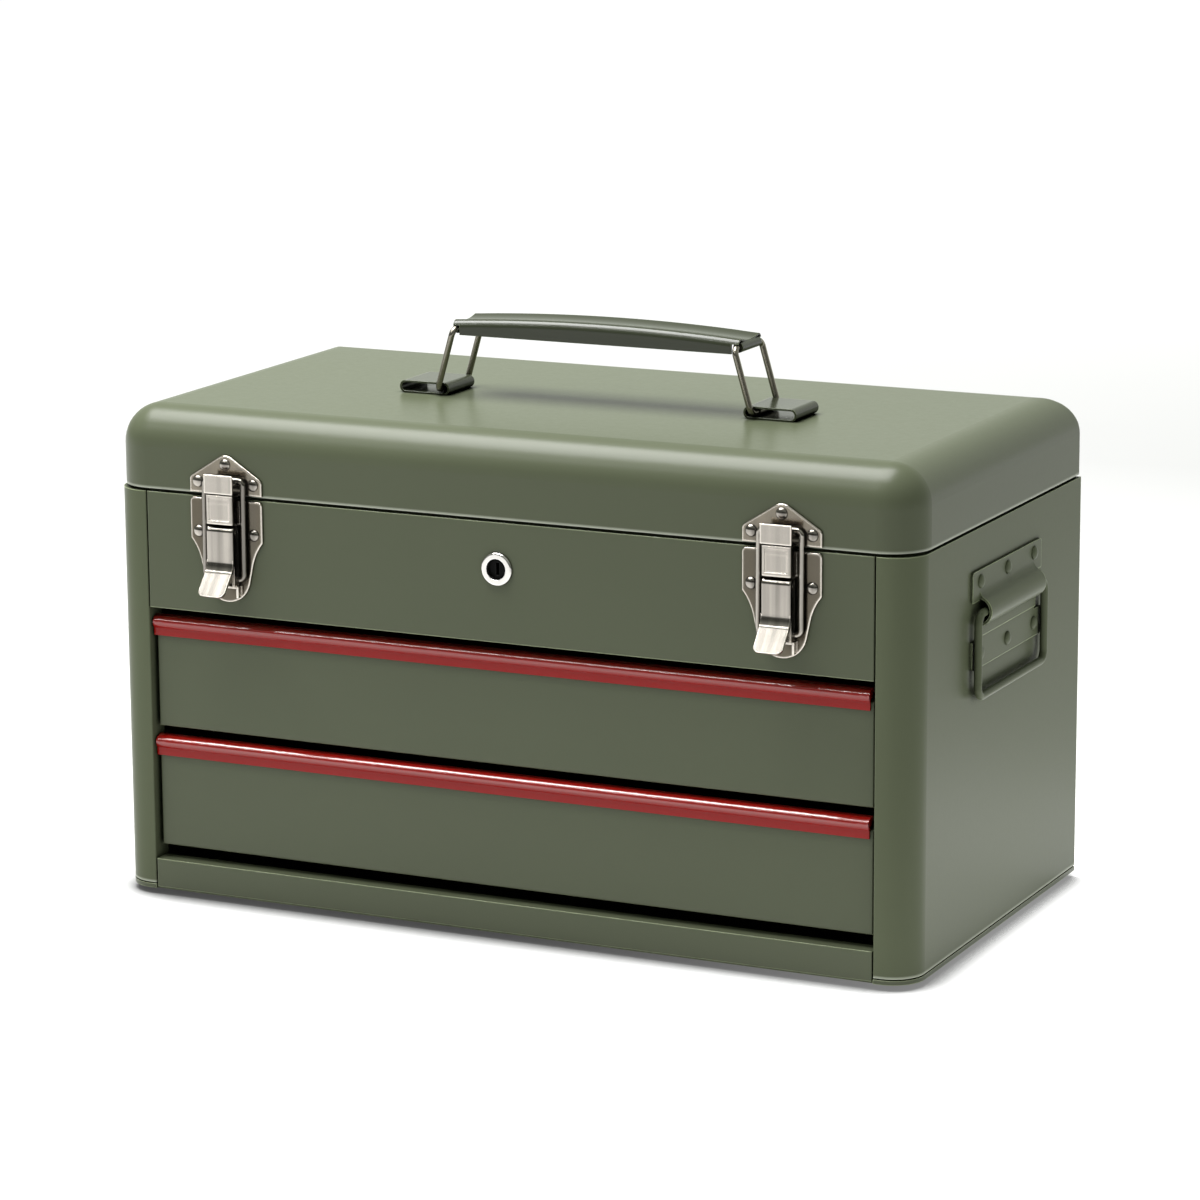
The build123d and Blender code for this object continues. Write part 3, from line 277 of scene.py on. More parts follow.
def turned_share(start):
    """One where a face turns away from the front, as the rounded rim of a plate does; such rims get a painted
    highlight.
    """
    settings = {"vector_type": "NORMAL", "convert_from": "WORLD", "convert_to": "OBJECT"}
    soft = rounded_normal(start, RIM_SOFTNESS)
    normal = start.node("ShaderNodeVectorTransform", settings, {"Vector": soft})
    depth = start.node("ShaderNodeSeparateXYZ", {}, {"Vector": normal}, "Y")
    front = start.node("ShaderNodeMath", {"operation": "ABSOLUTE"}, {0: depth})
    return ramp(start, front, EDGE_STOPS)


def unshaded_share(start, reach):
    """One in the open and zero in crevices and gaps, which are given painted shade."""
    seen = start.node("ShaderNodeAmbientOcclusion", {"samples": 4}, {"Distance": reach}, "AO")
    return ramp(start, seen, UNSHADED_STOPS)


def proud_share(start, place, sheet):
    """Zero on a flat plate in front of a sheet at this depth, and one on forms that stand out more."""
    depth = start.node("ShaderNodeSeparateXYZ", {}, {"Vector": place}, "Y")
    inputs = {"Value": depth, "From Min": sheet - FLAT_RISE, "From Max": sheet - PROUD_RISE}
    return start.node("ShaderNodeMapRange", {}, inputs, "Result")


def hem_share(start, place, hems):
    """One on thin level lines, each from a first height fading to zero at a second: the painted highlights
    along hems, and the clear coat on the pulls' roll.
    """
    height = start.node("ShaderNodeSeparateXYZ", {}, {"Vector": place}, "Z")
    lines = []
    for edge, end in hems:
        inputs = {"Value": height, "From Min": edge, "From Max": end, "To Min": 1.0, "To Max": 0.0}
        lines.append(start.node("ShaderNodeMapRange", {}, inputs, "Result"))
    return sum(lines[1:], lines[0])


def bump(start, height, strength, depth, normal):
    """A bump on top of a softened normal."""
    inputs = {"Strength": strength, "Distance": depth, "Height": height, "Normal": normal}
    return start.node("ShaderNodeBump", {}, inputs, "Normal")


def tint(colour, factor):
    """A colour made lighter or darker."""
    return tuple(min(1.0, part * factor) for part in colour[:3]) + (1.0,)


def pale(colour):
    """A colour faded almost to grey: the painted highlight along a hem."""
    return tuple(part * HEM_HIGHLIGHT_SHADE + HEM_HIGHLIGHT_WHITE for part in colour[:3]) + (1.0,)


# Sizes and colours

class ChestFinishes(bpy.types.PropertyGroup):
    """Colours and gloss of the chest's finishes."""

    green: bpy.props.FloatVectorProperty(
        name="Green enamel", description="Olive powder coat of the sheet", subtype="COLOR",
        size=4, min=0.0, max=1.0, default=(0.075, 0.086, 0.052, 1.0))
    green_roughness: bpy.props.FloatProperty(
        name="Green roughness", description="How matt the powder coat is", subtype="FACTOR",
        min=0.0, max=1.0, default=0.30)
    green_gloss: bpy.props.FloatProperty(
        name="Green gloss", description="Strength of the powder coat's reflections", subtype="FACTOR",
        min=0.0, max=1.0, default=0.20)
    green_peel: bpy.props.FloatProperty(
        name="Green orange peel", description="Strength of the powder coat's fine relief", subtype="FACTOR",
        min=0.0, max=1.0, default=0.10)
    # Painted highlight: width of the pale line painted along the lid's and case's edges.
    hem_highlight_width: bpy.props.FloatProperty(
        name="Hem width", description="Width of the shine along the lid's and case's edges", unit="LENGTH",
        min=0.0, default=0.0017)
    # Painted light: the sides and side handles are one paint with the front, lightened here for the light
    # they catch.
    side_painted_light: bpy.props.FloatProperty(
        name="Side lightness", description="The sides' green as a multiple of the green enamel",
        subtype="FACTOR", min=0.0, max=4.0, default=1.18)
    side_gloss: bpy.props.FloatProperty(
        name="Side gloss", description="Strength of the sides' reflections", subtype="FACTOR",
        min=0.0, max=1.0, default=0.08)
    # Painted shade: the top handle and its clips are one green with the chest, darkened here for the shade
    # and dark reflections on them.
    grip_painted_shade: bpy.props.FloatProperty(
        name="Grip lightness", description="The top handle's green as a multiple of the green enamel",
        subtype="FACTOR", min=0.0, max=4.0, default=0.42)
    grip_roughness: bpy.props.FloatProperty(
        name="Grip roughness", description="How matt the worn coat of the top handle is", subtype="FACTOR",
        min=0.0, max=1.0, default=0.17)
    grip_gloss: bpy.props.FloatProperty(
        name="Grip gloss", description="Strength of the top handle's reflections", subtype="FACTOR",
        min=0.0, max=1.0, default=0.35)
    grip_peel: bpy.props.FloatProperty(
        name="Grip orange peel", description="Strength of the top handle's fine relief", subtype="FACTOR",
        min=0.0, max=1.0, default=0.05)
    red: bpy.props.FloatVectorProperty(
        name="Red enamel", description="Gloss enamel of the drawer pulls", subtype="COLOR",
        size=4, min=0.0, max=1.0, default=(0.235, 0.006, 0.0045, 1.0))
    red_roughness: bpy.props.FloatProperty(
        name="Red roughness", description="How matt the red enamel is", subtype="FACTOR",
        min=0.0, max=1.0, default=0.08)
    red_gloss: bpy.props.FloatProperty(
        name="Red gloss", description="Strength of the red enamel's reflections", subtype="FACTOR",
        min=0.0, max=1.0, default=0.22)
    roll_low: bpy.props.FloatProperty(
        name="Roll start", description="Share of a pull's height where its clear coat starts",
        subtype="FACTOR", min=0.0, max=1.0, default=0.46)
    roll_full: bpy.props.FloatProperty(
        name="Roll full", description="Share of a pull's height where its clear coat is full",
        subtype="FACTOR", min=0.0, max=1.0, default=0.72)
    nickel: bpy.props.FloatVectorProperty(
        name="Nickel", description="Bright plate of latches and lock", subtype="COLOR",
        size=4, min=0.0, max=1.0, default=(0.43, 0.40, 0.36, 1.0))
    # Painted shade: the strike and base plates are the same nickel as the latches, darkened here for the
    # shade they lie in.
    strike: bpy.props.FloatVectorProperty(
        name="Strike plate", description="Duller nickel of the strikes' flat plates", subtype="COLOR",
        size=4, min=0.0, max=1.0, default=(0.22, 0.195, 0.155, 1.0))
    plate: bpy.props.FloatVectorProperty(
        name="Base plate", description="Dullest nickel of the latches' base plates", subtype="COLOR",
        size=4, min=0.0, max=1.0, default=(0.115, 0.10, 0.075, 1.0))
    lock: bpy.props.FloatVectorProperty(
        name="Lock ring", description="Polished nickel of the lock's ring", subtype="COLOR",
        size=4, min=0.0, max=1.0, default=(0.74, 0.72, 0.69, 1.0))
    wire: bpy.props.FloatVectorProperty(
        name="Wire", description="Bare steel of the handle rings", subtype="COLOR",
        size=4, min=0.0, max=1.0, default=(0.30, 0.28, 0.23, 1.0))
    zinc: bpy.props.FloatVectorProperty(
        name="Zinc", description="Plated steel of hinge and runners", subtype="COLOR",
        size=4, min=0.0, max=1.0, default=(0.52, 0.52, 0.50, 1.0))
    black: bpy.props.FloatVectorProperty(
        name="Black steel", description="Blackened plug of the lock", subtype="COLOR",
        size=4, min=0.0, max=1.0, default=(0.012, 0.012, 0.012, 1.0))


class RivetSizes(bpy.types.PropertyGroup):
    """Sizes of the rivets that hold the fittings."""

    latch_radius: bpy.props.FloatProperty(
        name="Latch head radius", description="Radius of a latch rivet's head", unit="LENGTH", default=0.0035)
    latch_height: bpy.props.FloatProperty(
        name="Latch head height", description="Height of a latch rivet's head", unit="LENGTH", default=0.0020)
    side_radius: bpy.props.FloatProperty(
        name="Side head radius", description="Radius of a side handle rivet's head", unit="LENGTH",
        default=0.0040)
    side_height: bpy.props.FloatProperty(
        name="Side head height", description="Height of a side handle rivet's head", unit="LENGTH",
        default=0.0020)
    hinge_radius: bpy.props.FloatProperty(
        name="Hinge head radius", description="Radius of a hinge rivet's head", unit="LENGTH", default=0.0030)
    hinge_height: bpy.props.FloatProperty(
        name="Hinge head height", description="Height of a hinge rivet's head", unit="LENGTH", default=0.0018)
    tail_radius: bpy.props.FloatProperty(
        name="Tail radius", description="Radius of the closed end inside", unit="LENGTH", default=0.0026)
    tail_height: bpy.props.FloatProperty(
        name="Tail height", description="Height of the closed end inside", unit="LENGTH", default=0.0009)


class StageSettings(bpy.types.PropertyGroup):
    """Camera, floor and light of the studio."""

    camera_place: bpy.props.FloatVectorProperty(
        name="Camera place", description="Where the camera stands", subtype="TRANSLATION",
        unit="LENGTH", size=3, default=(1.11725, -2.31286, 0.73843))
    azimuth: bpy.props.FloatProperty(
        name="Azimuth", description="Turn of the camera to the right of the front", subtype="ANGLE",
        default=0.449679)
    elevation: bpy.props.FloatProperty(
        name="Elevation", description="How far the camera looks down", subtype="ANGLE", default=0.217296)
    roll: bpy.props.FloatProperty(
        name="Roll", description="Tilt of the picture", subtype="ANGLE", default=-0.00605)
    lens: bpy.props.FloatProperty(
        name="Lens", description="Focal length in millimetres", unit="CAMERA", default=135.12)
    sensor: bpy.props.FloatProperty(
        name="Sensor", description="Width of the camera's sensor in millimetres", unit="CAMERA", default=36.0)
    floor_size: bpy.props.FloatProperty(
        name="Floor size", description="Side of the pale floor", unit="LENGTH", default=40.0)
    overhead_power: bpy.props.FloatProperty(
        name="Overhead power", description="Power of the wide light above the chest", unit="POWER",
        min=0.0, default=119.0)
    front_top_power: bpy.props.FloatProperty(
        name="Front power", description="Power of the small light in front of the lid", unit="POWER",
        min=0.0, default=2.6)
    front_tube_power: bpy.props.FloatProperty(
        name="Tube power", description="Power of the tube that draws the line on the pulls", unit="POWER",
        min=0.0, default=14.0)


# Finishes

def clouded(start, cloud, colour, shades):
    """A colour that drifts between a darker and a lighter shade."""
    darker, lighter = shades
    return blend_colour(start, cloud, tint(colour, darker), tint(colour, lighter))


def make_enamel(name, colour, roughness, gloss, peel_strength, hems=()):
    """Powder coat: faint clouding, fine orange peel, painted shade in seams, and rubbed edges lightened
    partly as wear and partly as a painted highlight.
    """
    material, shader, start = new_finish(name)
    place = start.node("ShaderNodeTexCoord", output="Object")
    cloud = noise(start, place, CLOUDS)
    peel = noise(start, place, PEEL)
    dust = noise(start, place, DUST)
    soft = rounded_normal(start, ENAMEL_SOFTNESS)
    # Painted shade: ambient occlusion finds crevices and gaps, and there the finish gives way to a dull dark
    # coat.
    clear = unshaded_share(start, ENAMEL_SHADE_REACH)
    edge = edge_share(start, ENAMEL_EDGE) * clear
    base = clouded(start, cloud, colour, ENAMEL_SHADES)
    # Rubbed edges are lightened to a much paler green: partly wear, partly painted highlight.
    worn = edge * (dust * WEAR_DUST + WEAR_LEAST)
    base = blend_colour(start, worn, base, tint(colour, RUBBED_HIGHLIGHT_SHADE))
    # Painted highlight: pale level lines along the lid's lower edge and the case's top and bottom edges.
    if hems:
        base = blend_colour(start, hem_share(start, place, hems), base, pale(colour))
    link(base, shader, "Base Color")
    paint_crevice_shade(shader, clear, colour)
    dull = cloud * DULL_CLOUD + dust * DULL_DUST - edge * EDGE_POLISH + DULL_LEAST
    link(roughness * dull, shader, "Roughness")
    relief = peel + dust * RELIEF_DUST
    link(bump(start, relief, peel_strength, PEEL_HEIGHT, soft), shader, "Normal")
    shader.inputs["Specular IOR Level"].default_value = gloss
    return material


def make_gloss(name, colour, roughness, gloss, roll):
    """Gloss enamel: faint clouding, a shine broken by dust and a clear coat on the roll at the top."""
    material, shader, start = new_finish(name)
    place = start.node("ShaderNodeTexCoord", output="Object")
    cloud = noise(start, place, CLOUDS)
    dust = noise(start, place, DUST)
    link(clouded(start, cloud, colour, GLOSS_SHADES), shader, "Base Color")
    link(roughness * (dust * GLOSS_DUST + GLOSS_LEAST), shader, "Roughness")
    link(hem_share(start, place, (roll,)), shader, "Coat Weight")
    shader.inputs["Coat IOR"].default_value = COAT_IOR
    shader.inputs["Coat Roughness"].default_value = COAT_ROUGHNESS
    shader.inputs["Specular IOR Level"].default_value = gloss
    return material


def make_plate(name, colour, plate, bright=None, sheet=0.0):
    """Plated metal: drawn grain, dark streaks that are partly drawing marks and partly painted reflection,
    cloudy gloss, painted shade in crevices and painted highlights on edges.

    With a bright colour, the flat of a plate in front of a sheet keeps its darker colour as painted shade,
    its ears take the bright colour and its rim a painted highlight.
    """
    material, shader, start = new_finish(name)
    place = start.node("ShaderNodeTexCoord", output="Object")
    lines = noise(start, stretched(start, place, GRAIN_STRETCH), GRAIN)
    cloud = noise(start, place, TARNISH)
    drawn = ramp(start, noise(start, stretched(start, place, STREAK_STRETCH), STREAKS), STREAK_STOPS)
    soft = rounded_normal(start, PLATE_SOFTNESS)
    # Painted highlight: the colour that plate rims and rubbed edges are lightened to.
    painted_highlight_colour = tint(bright or colour, BRIGHT_HIGHLIGHT_SHADE)
    base = clouded(start, cloud, colour, PLATE_SHADES)
    if bright:
        proud = proud_share(start, place, sheet)
        base = blend_colour(start, proud, base, tint(bright, 1.0))
        base = blend_colour(start, turned_share(start) * (1.0 - proud), base, painted_highlight_colour)
    # Dark streaks across the metal: partly drawing marks, partly painted reflection.
    base = blend_colour(start, drawn * plate.streak, base, tint(bright or colour, STREAK_REFLECTION_SHADE))
    # Painted shade: ambient occlusion finds crevices and gaps, and there the finish gives way to a dull dark
    # coat.
    clear = unshaded_share(start, PLATE_SHADE_REACH)
    base = blend_colour(start, edge_share(start, plate.rim) * clear, base, painted_highlight_colour)
    link(base, shader, "Base Color")
    paint_crevice_shade(shader, clear, colour)
    shader.inputs["Metallic"].default_value = 1.0
    dull = plate.roughness + (cloud - 0.5) * plate.grain + (lines - 0.5) * plate.scratch
    link(dull, shader, "Roughness")
    link(bump(start, lines, GRAIN_STRENGTH, GRAIN_HEIGHT, soft), shader, "Normal")
    return material


def slot_nodes():
    """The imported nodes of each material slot."""
    slots = {}
    for piece in frame["record"]["subparts"]:
        slots.setdefault(piece["material_slot"], []).append(piece["node"])
    return slots


def dress(name, material):
    """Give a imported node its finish."""
    data = frame["nodes"][name].data
    data.materials.clear()
    data.materials.append(material)


class CHEST_OT_enamel(bpy.types.Operator):
    """Coat the sheet pieces green and the drawer pulls red"""

    bl_idname = "chest.enamel"
    bl_label = "Enamel"

    def execute(self, context):
        finishes = context.scene.chest_finishes
        green = finishes.green
        shine = finishes.hem_highlight_width
        lid_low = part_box("lid_shell")[0][2]
        # Painted highlight lines, each from a sheet's edge inwards by the hem width.
        case_low, case_top = (corner[2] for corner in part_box("side_panel_right"))
        hems = {
            "lid_shell": ((lid_low, lid_low + shine),),
            "front_apron": ((case_top, case_top - shine),),
            "side_panel_left": ((case_top, case_top - shine), (case_low, case_low + shine)),
            "side_panel_right": ((case_top, case_top - shine), (case_low, case_low + shine)),
        }
        matt, gloss, peel = finishes.green_roughness, finishes.green_gloss, finishes.green_peel
        # Painted light: a lighter copy of the green for the sides and side handles.
        side = tint(green, finishes.side_painted_light)
        # Painted shade: a darker copy of the green for the top handle and its clips.
        grip = tint(green, finishes.grip_painted_shade)
        panel = make_enamel("green_powder_coat", green, matt, gloss, peel)
        ring = make_enamel("green_ring_lit_coat", side, matt, finishes.side_gloss, peel)
        handle = make_enamel("green_handle_shaded_gloss", grip, finishes.grip_roughness, finishes.grip_gloss,
                             finishes.grip_peel)
        nodes = slot_nodes()
        for name in nodes["green_enamel"]:
            if name.startswith(("handle_grip", "handle_clip")):
                dress(name, handle)
            elif name.startswith("side_handle"):
                dress(name, ring)
            elif name.startswith("side_panel"):
                dress(name, make_enamel(name + "_coat", side, matt, finishes.side_gloss, peel, hems[name]))
            elif name in hems:
                dress(name, make_enamel(name + "_coat", green, matt, gloss, peel, hems[name]))
            else:
                dress(name, panel)
        for name in nodes["red_enamel"]:
            low, top = (corner[2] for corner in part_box(name))
            roll = (low + (top - low) * finishes.roll_full, low + (top - low) * finishes.roll_low)
            dress(name, make_gloss(name + "_enamel", finishes.red, finishes.red_roughness,
                                   finishes.red_gloss, roll))
        return {"FINISHED"}


class CHEST_OT_metal(bpy.types.Operator):
    """Plate the latches, the lock, the hinge, the runners and the wire rings"""

    bl_idname = "chest.metal"
    bl_label = "Metal"

    def execute(self, context):
        finishes = context.scene.chest_finishes
        nickel = finishes.nickel
        coats = {
            "bright_nickel": make_plate("bright_nickel_plate", nickel, BRIGHT_PLATE),
            "bare_steel": make_plate("drawn_steel_wire", finishes.wire, DRAWN_WIRE),
            "plated_steel": make_plate("zinc_plate", finishes.zinc, ZINC_PLATE),
            "dark_steel": make_plate("blackened_steel", finishes.black, BLACK_STEEL),
        }
        nodes = slot_nodes()
        for slot, material in coats.items():
            for name in nodes[slot]:
                dress(name, material)
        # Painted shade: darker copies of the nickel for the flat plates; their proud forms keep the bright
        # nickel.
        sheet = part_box("lid_shell")[0][1]
        base = make_plate("base_plate_shaded_nickel", finishes.plate, BASE_PLATE, nickel, sheet)
        strike = make_plate("strike_plate_shaded_nickel", finishes.strike, STRIKE_PLATE, nickel, sheet)
        for side in ("left", "right"):
            dress("latch_base_" + side, base)
            dress("latch_strike_" + side, strike)
        dress("lock_bezel", make_plate("polished_lock_ring", finishes.lock, LOCK_PLATE))
        return {"FINISHED"}


# Rivets

def rivet_tree():
    """Geometry nodes that set a rivet on each point of a mesh."""
    tree = bpy.data.node_groups.new("rivet_row", "GeometryNodeTree")
    face = tree.interface
    face.new_socket("Geometry", in_out="INPUT", socket_type="NodeSocketGeometry")
    for name in ("Head radius", "Head height", "Grip", "Tail radius", "Tail height"):
        face.new_socket(name, in_out="INPUT", socket_type="NodeSocketFloat")
    face.new_socket("Outward", in_out="INPUT", socket_type="NodeSocketVector")
    face.new_socket("Finish", in_out="INPUT", socket_type="NodeSocketMaterial")
    face.new_socket("Geometry", in_out="OUTPUT", socket_type="NodeSocketGeometry")

    def add(kind, settings=None, inputs=None):
        made = tree.nodes.new(kind)
        for name, value in (settings or {}).items():
            setattr(made, name, value)
        for name, value in (inputs or {}).items():
            if isinstance(value, bpy.types.NodeSocket):
                tree.links.new(value, made.inputs[name])
            else:
                made.inputs[name].default_value = value
        return made

    given = add("NodeGroupInput").outputs
    dome = add("GeometryNodeMeshUVSphere", None,
               {"Segments": RIVET_SEGMENTS, "Rings": RIVET_SEGMENTS // 2, "Radius": 1.0})
    size = add("ShaderNodeCombineXYZ", None,
               {"X": given["Head radius"], "Y": given["Head radius"], "Z": given["Head height"]})
    head = add("GeometryNodeTransform", None, {"Geometry": dome.outputs["Mesh"], "Scale": size.outputs[0]})
    end = add("GeometryNodeMeshCylinder", None,
              {"Vertices": RIVET_SEGMENTS, "Radius": given["Tail radius"], "Depth": given["Tail height"]})
    half = add("ShaderNodeMath", {"operation": "MULTIPLY"}, {0: given["Tail height"], 1: -0.5})
    drop = add("ShaderNodeMath", {"operation": "SUBTRACT"}, {0: half.outputs[0], 1: given["Grip"]})
    below = add("ShaderNodeCombineXYZ", None, {"Z": drop.outputs[0]})
    tail = add("GeometryNodeTransform", None,
               {"Geometry": end.outputs["Mesh"], "Translation": below.outputs[0]})
    both = add("GeometryNodeJoinGeometry")
    tree.links.new(tail.outputs[0], both.inputs[0])
    tree.links.new(head.outputs[0], both.inputs[0])
    turn = add("FunctionNodeAlignRotationToVector", {"axis": "Z"}, {"Vector": given["Outward"]})
    points = add("GeometryNodeMeshToPoints", None, {"Mesh": given["Geometry"]})
    placed = add("GeometryNodeInstanceOnPoints", None,
                 {"Points": points.outputs[0], "Instance": both.outputs[0], "Rotation": turn.outputs[0]})
    real = add("GeometryNodeRealizeInstances", None, {"Geometry": placed.outputs[0]})
    coated = add("GeometryNodeSetMaterial", None, {"Geometry": real.outputs[0], "Material": given["Finish"]})
    smooth = add("GeometryNodeSetShadeSmooth", None, {"Geometry": coated.outputs[0]})
    done = add("NodeGroupOutput")
    tree.links.new(smooth.outputs[0], done.inputs[0])
    return tree


def rivet_row(tree, name, places, values):
    """One mesh of rivets at these places, with the tree's inputs set by name."""
    points = bpy.data.meshes.new(name + "_points")
    points.from_pydata(places, [], [])
    maker = bpy.data.objects.new(name + "_maker", points)
    bpy.context.scene.collection.objects.link(maker)
    modifier = maker.modifiers.new("rivets", "NODES")
    modifier.node_group = tree
    for item in tree.interface.items_tree:
        if item.in_out == "INPUT" and item.name in values:
            modifier[item.identifier] = values[item.name]
    ready = maker.evaluated_get(bpy.context.evaluated_depsgraph_get())
    mesh = bpy.data.meshes.new_from_object(ready)
    mesh.name = name
    row = bpy.data.objects.new(name, mesh)
    bpy.context.scene.collection.objects.link(row)
    bpy.data.objects.remove(maker)
    return row


def solid_boxes(name):
    """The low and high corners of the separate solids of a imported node, from its loose triangles."""
    data = frame["nodes"][name].data
    parent = {}

    def find(key):
        while parent[key] != key:
            parent[key] = parent[parent[key]]
            key = parent[key]
        return key

    keys = [tuple(round(part / SAME_POINT) for part in vertex.co) for vertex in data.vertices]
    for key in keys:
        parent.setdefault(key, key)
    for face in data.polygons:
        first = find(keys[face.vertices[0]])
        for vertex in face.vertices[1:]:
            parent[find(keys[vertex])] = first
    solids = {}
    for key, vertex in zip(keys, data.vertices):
        solids.setdefault(find(key), []).append(vertex.co)
    boxes = []
    for points in solids.values():
        low = [min(point[axis] for point in points) for axis in range(3)]
        high = [max(point[axis] for point in points) for axis in range(3)]
        boxes.append((Vector(low), Vector(high)))
    return boxes


class CHEST_OT_rivets(bpy.types.Operator):
    """Set the rivets of the latches, side handles and hinge"""

    bl_idname = "chest.rivets"
    bl_label = "Rivets"

    def execute(self, context):
        sizes = context.scene.chest_rivets
        materials = bpy.data.materials
        latch = (sizes.latch_radius, sizes.latch_height, "bright_nickel_plate", "bright_nickel")
        # Side handle rivets take the sides' lighter copy of the green, painted light.
        side = (sizes.side_radius, sizes.side_height, "green_ring_lit_coat", "green_enamel")
        hinge = (sizes.hinge_radius, sizes.hinge_height, "zinc_plate", "plated_steel")
        rows = (
            ("strike_rivets_left", "lid", (0, -1, 0), latch),
            ("strike_rivets_right", "lid", (0, -1, 0), latch),
            ("latch_rivets_left", "case", (0, -1, 0), latch),
            ("latch_rivets_right", "case", (0, -1, 0), latch),
            ("side_handle_rivets_left", "case", (-1, 0, 0), side),
            ("side_handle_rivets_right", "case", (1, 0, 0), side),
            ("hinge_rivets_case", "case", (0, 1, 0), hinge),
            ("hinge_rivets_lid", "lid", (0, 1, 0), hinge),
        )
        tree = rivet_tree()
        for node, body, outward, (radius, height, finish, slot) in rows:
            boxes = solid_boxes(node)
            axis = [abs(part) for part in outward].index(1)
            towards = outward[axis]
            places = []
            for low, high in boxes:
                spot = (low + high) / 2
                spot[axis] = (high if towards > 0 else low)[axis] - towards * height
                places.append(spot)
            low, high = boxes[-1]
            grip = high[axis] - low[axis] - height - sizes.tail_height
            values = {"Head radius": radius, "Head height": height, "Grip": grip,
                      "Tail radius": sizes.tail_radius, "Tail height": sizes.tail_height,
                      "Outward": outward, "Finish": materials[finish]}
            row = rivet_row(tree, node + "_row", places, values)
            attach(row, body)
            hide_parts(node)
        return {"FINISHED"}


# Stage

def camera_matrix(stage):
    """The camera's place and turn from its azimuth, elevation and roll."""
    turn, tilt = stage.azimuth, stage.elevation
    back = Vector((math.sin(turn) * math.cos(tilt), -math.cos(turn) * math.cos(tilt), math.sin(tilt)))
    right = Vector((math.cos(turn), math.sin(turn), 0.0))
    up = back.cross(right)
    rolled_right = right * math.cos(stage.roll) + up * math.sin(stage.roll)
    rolled_up = up * math.cos(stage.roll) - right * math.sin(stage.roll)
    matrix = Matrix((rolled_right, rolled_up, back)).transposed().to_4x4()
    matrix.translation = Vector(stage.camera_place)
    return matrix


def soft_box(name, place, size, power):
    """A studio light that points straight down, with its long side from left to right."""
    light = bpy.data.lights.new(name, "AREA")
    light.shape = "RECTANGLE"
    light.size, light.size_y = size
    light.energy = power
    lamp = bpy.data.objects.new(name, light)
    lamp.location = place
    bpy.context.scene.collection.objects.link(lamp)


def studio_world():
    """A room with a white wall behind the chest, a dim front and a pale ceiling."""
    world = bpy.data.worlds.new("studio")
    world.use_nodes = True
    bpy.context.scene.world = world
    tree = world.node_tree
    start = Shade(tree)
    ray = start.node("ShaderNodeTexCoord", output="Generated")
    depth = start.node("ShaderNodeSeparateXYZ", {}, {"Vector": ray}, "Y")
    height = start.node("ShaderNodeSeparateXYZ", {}, {"Vector": ray}, "Z")
    wall = ramp(start, depth * 0.5 + 0.5, WALL_STOPS)
    ceiling = ramp(start, height, CEILING_STOPS)
    grey = wall * (1.0 - ceiling) + ceiling * CEILING_LIGHT
    background = tree.nodes["Background"]
    colour = blend_colour(start, grey, (0.0, 0.0, 0.0, 1.0), WALL_COLOUR)
    tree.links.new(colour.socket, background.inputs["Color"])
    background.inputs["Strength"].default_value = 1.0


def paper_tone(start, shader):
    """Pale paper with painted light: it glows a little, more so far off and in pools beside the chest, and a
    painted contact shadow darkens it close to the chest.
    """
    place = start.node("ShaderNodeTexCoord", output="Object")
    far = start.node("ShaderNodeVectorMath", {"operation": "LENGTH"}, {0: place}, "Value")
    inputs = {"Value": far, "From Min": FAR_RANGE[0], "From Max": FAR_RANGE[1]}
    # Painted light: the paper glows more far off and in pools beside the chest.
    painted_glow = start.node("ShaderNodeMapRange", {}, inputs, "Result") * FAR_PAINTED_GLOW + PAPER_PAINTED_GLOW
    for spot, power in PAINTED_LIGHT_POOLS:
        away = start.node("ShaderNodeVectorMath", {"operation": "DISTANCE"}, {0: place, 1: spot}, "Value")
        inputs = {"Value": away, "From Min": LIGHT_POOL_RANGE[1], "From Max": LIGHT_POOL_RANGE[0]}
        painted_glow = painted_glow + start.node("ShaderNodeMapRange", {"interpolation_type": "SMOOTHSTEP"}, inputs) * power
    # Painted contact shadow: ambient occlusion darkens the paper's colour and emission close to the chest.
    painted_contact_shadow = start.node("ShaderNodeAmbientOcclusion", {"samples": 8}, {"Distance": PAINTED_SHADOW_REACH}, "AO")
    painted_contact_shadow = ramp(start, painted_contact_shadow, PAINTED_SHADOW_STOPS)
    tone = noise(start, place, MOTTLE) * PAPER_MOTTLE + PAPER_TONE
    link(tone * painted_contact_shadow, shader, "Base Color")
    link(painted_glow * painted_contact_shadow, shader, "Emission Color")
    shader.inputs["Emission Strength"].default_value = 1.0
    shader.inputs["Roughness"].default_value = 0.9


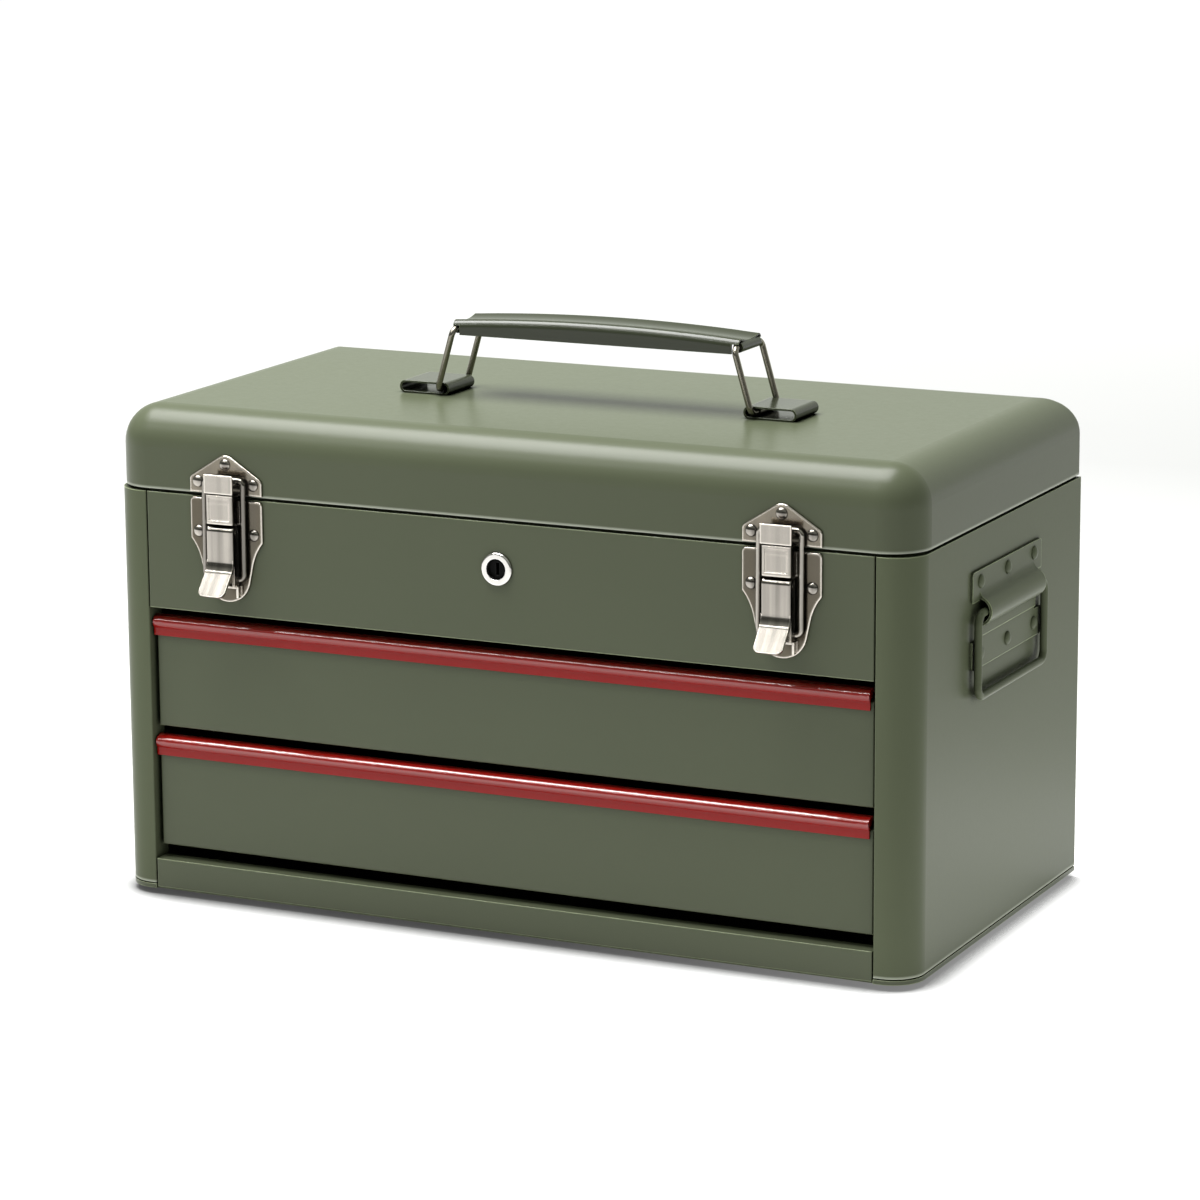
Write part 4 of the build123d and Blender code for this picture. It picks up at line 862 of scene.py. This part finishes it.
class CHEST_OT_stage(bpy.types.Operator):
    """Lay the pale floor and set the camera and the soft light"""

    bl_idname = "chest.stage"
    bl_label = "Stage"

    def execute(self, context):
        scene = context.scene
        stage = scene.chest_stage
        half = stage.floor_size / 2
        mesh = bpy.data.meshes.new("pale_floor")
        corners = [(-half, -half, 0), (half, -half, 0), (half, half, 0), (-half, half, 0)]
        mesh.from_pydata(corners, [], [(0, 1, 2, 3)])
        floor = bpy.data.objects.new("pale_floor", mesh)
        scene.collection.objects.link(floor)
        paper, shader, start = new_finish("white_paper")
        paper_tone(start, shader)
        mesh.materials.append(paper)
        studio_world()
        powers = (stage.overhead_power, stage.front_top_power, stage.front_tube_power)
        for (name, place, size), power in zip(LIGHTS, powers):
            soft_box(name, place, size, power)
        data = bpy.data.cameras.new("photo_camera")
        data.sensor_width = stage.sensor
        data.lens = stage.lens
        camera = bpy.data.objects.new("photo_camera", data)
        camera.matrix_world = camera_matrix(stage)
        scene.collection.objects.link(camera)
        scene.camera = camera
        scene.view_settings.view_transform = "Standard"
        return {"FINISHED"}


class CHEST_PT_panel(bpy.types.Panel):
    """The chest's steps in the sidebar"""

    bl_idname = "CHEST_PT_panel"
    bl_label = "Steel tool chest"
    bl_space_type = "VIEW_3D"
    bl_region_type = "UI"
    bl_category = "Chest"

    def draw(self, context):
        for operator in operators:
            self.layout.operator(operator.bl_idname)


operators = (CHEST_OT_enamel, CHEST_OT_metal, CHEST_OT_rivets, CHEST_OT_stage)
groups = (ChestFinishes, RivetSizes, StageSettings)
pointers = {"chest_finishes": ChestFinishes, "chest_rivets": RivetSizes, "chest_stage": StageSettings}


def register():
    for made in groups + operators + (CHEST_PT_panel,):
        bpy.utils.register_class(made)
    for name, group in pointers.items():
        setattr(bpy.types.Scene, name, bpy.props.PointerProperty(type=group))


def unregister():
    for name in pointers:
        delattr(bpy.types.Scene, name)
    for made in reversed(groups + operators + (CHEST_PT_panel,)):
        bpy.utils.unregister_class(made)


def main():
    register()
    bpy.ops.chest.enamel()
    bpy.ops.chest.metal()
    bpy.ops.chest.rivets()
    bpy.ops.chest.stage()


if __name__ == "__main__":
    main()
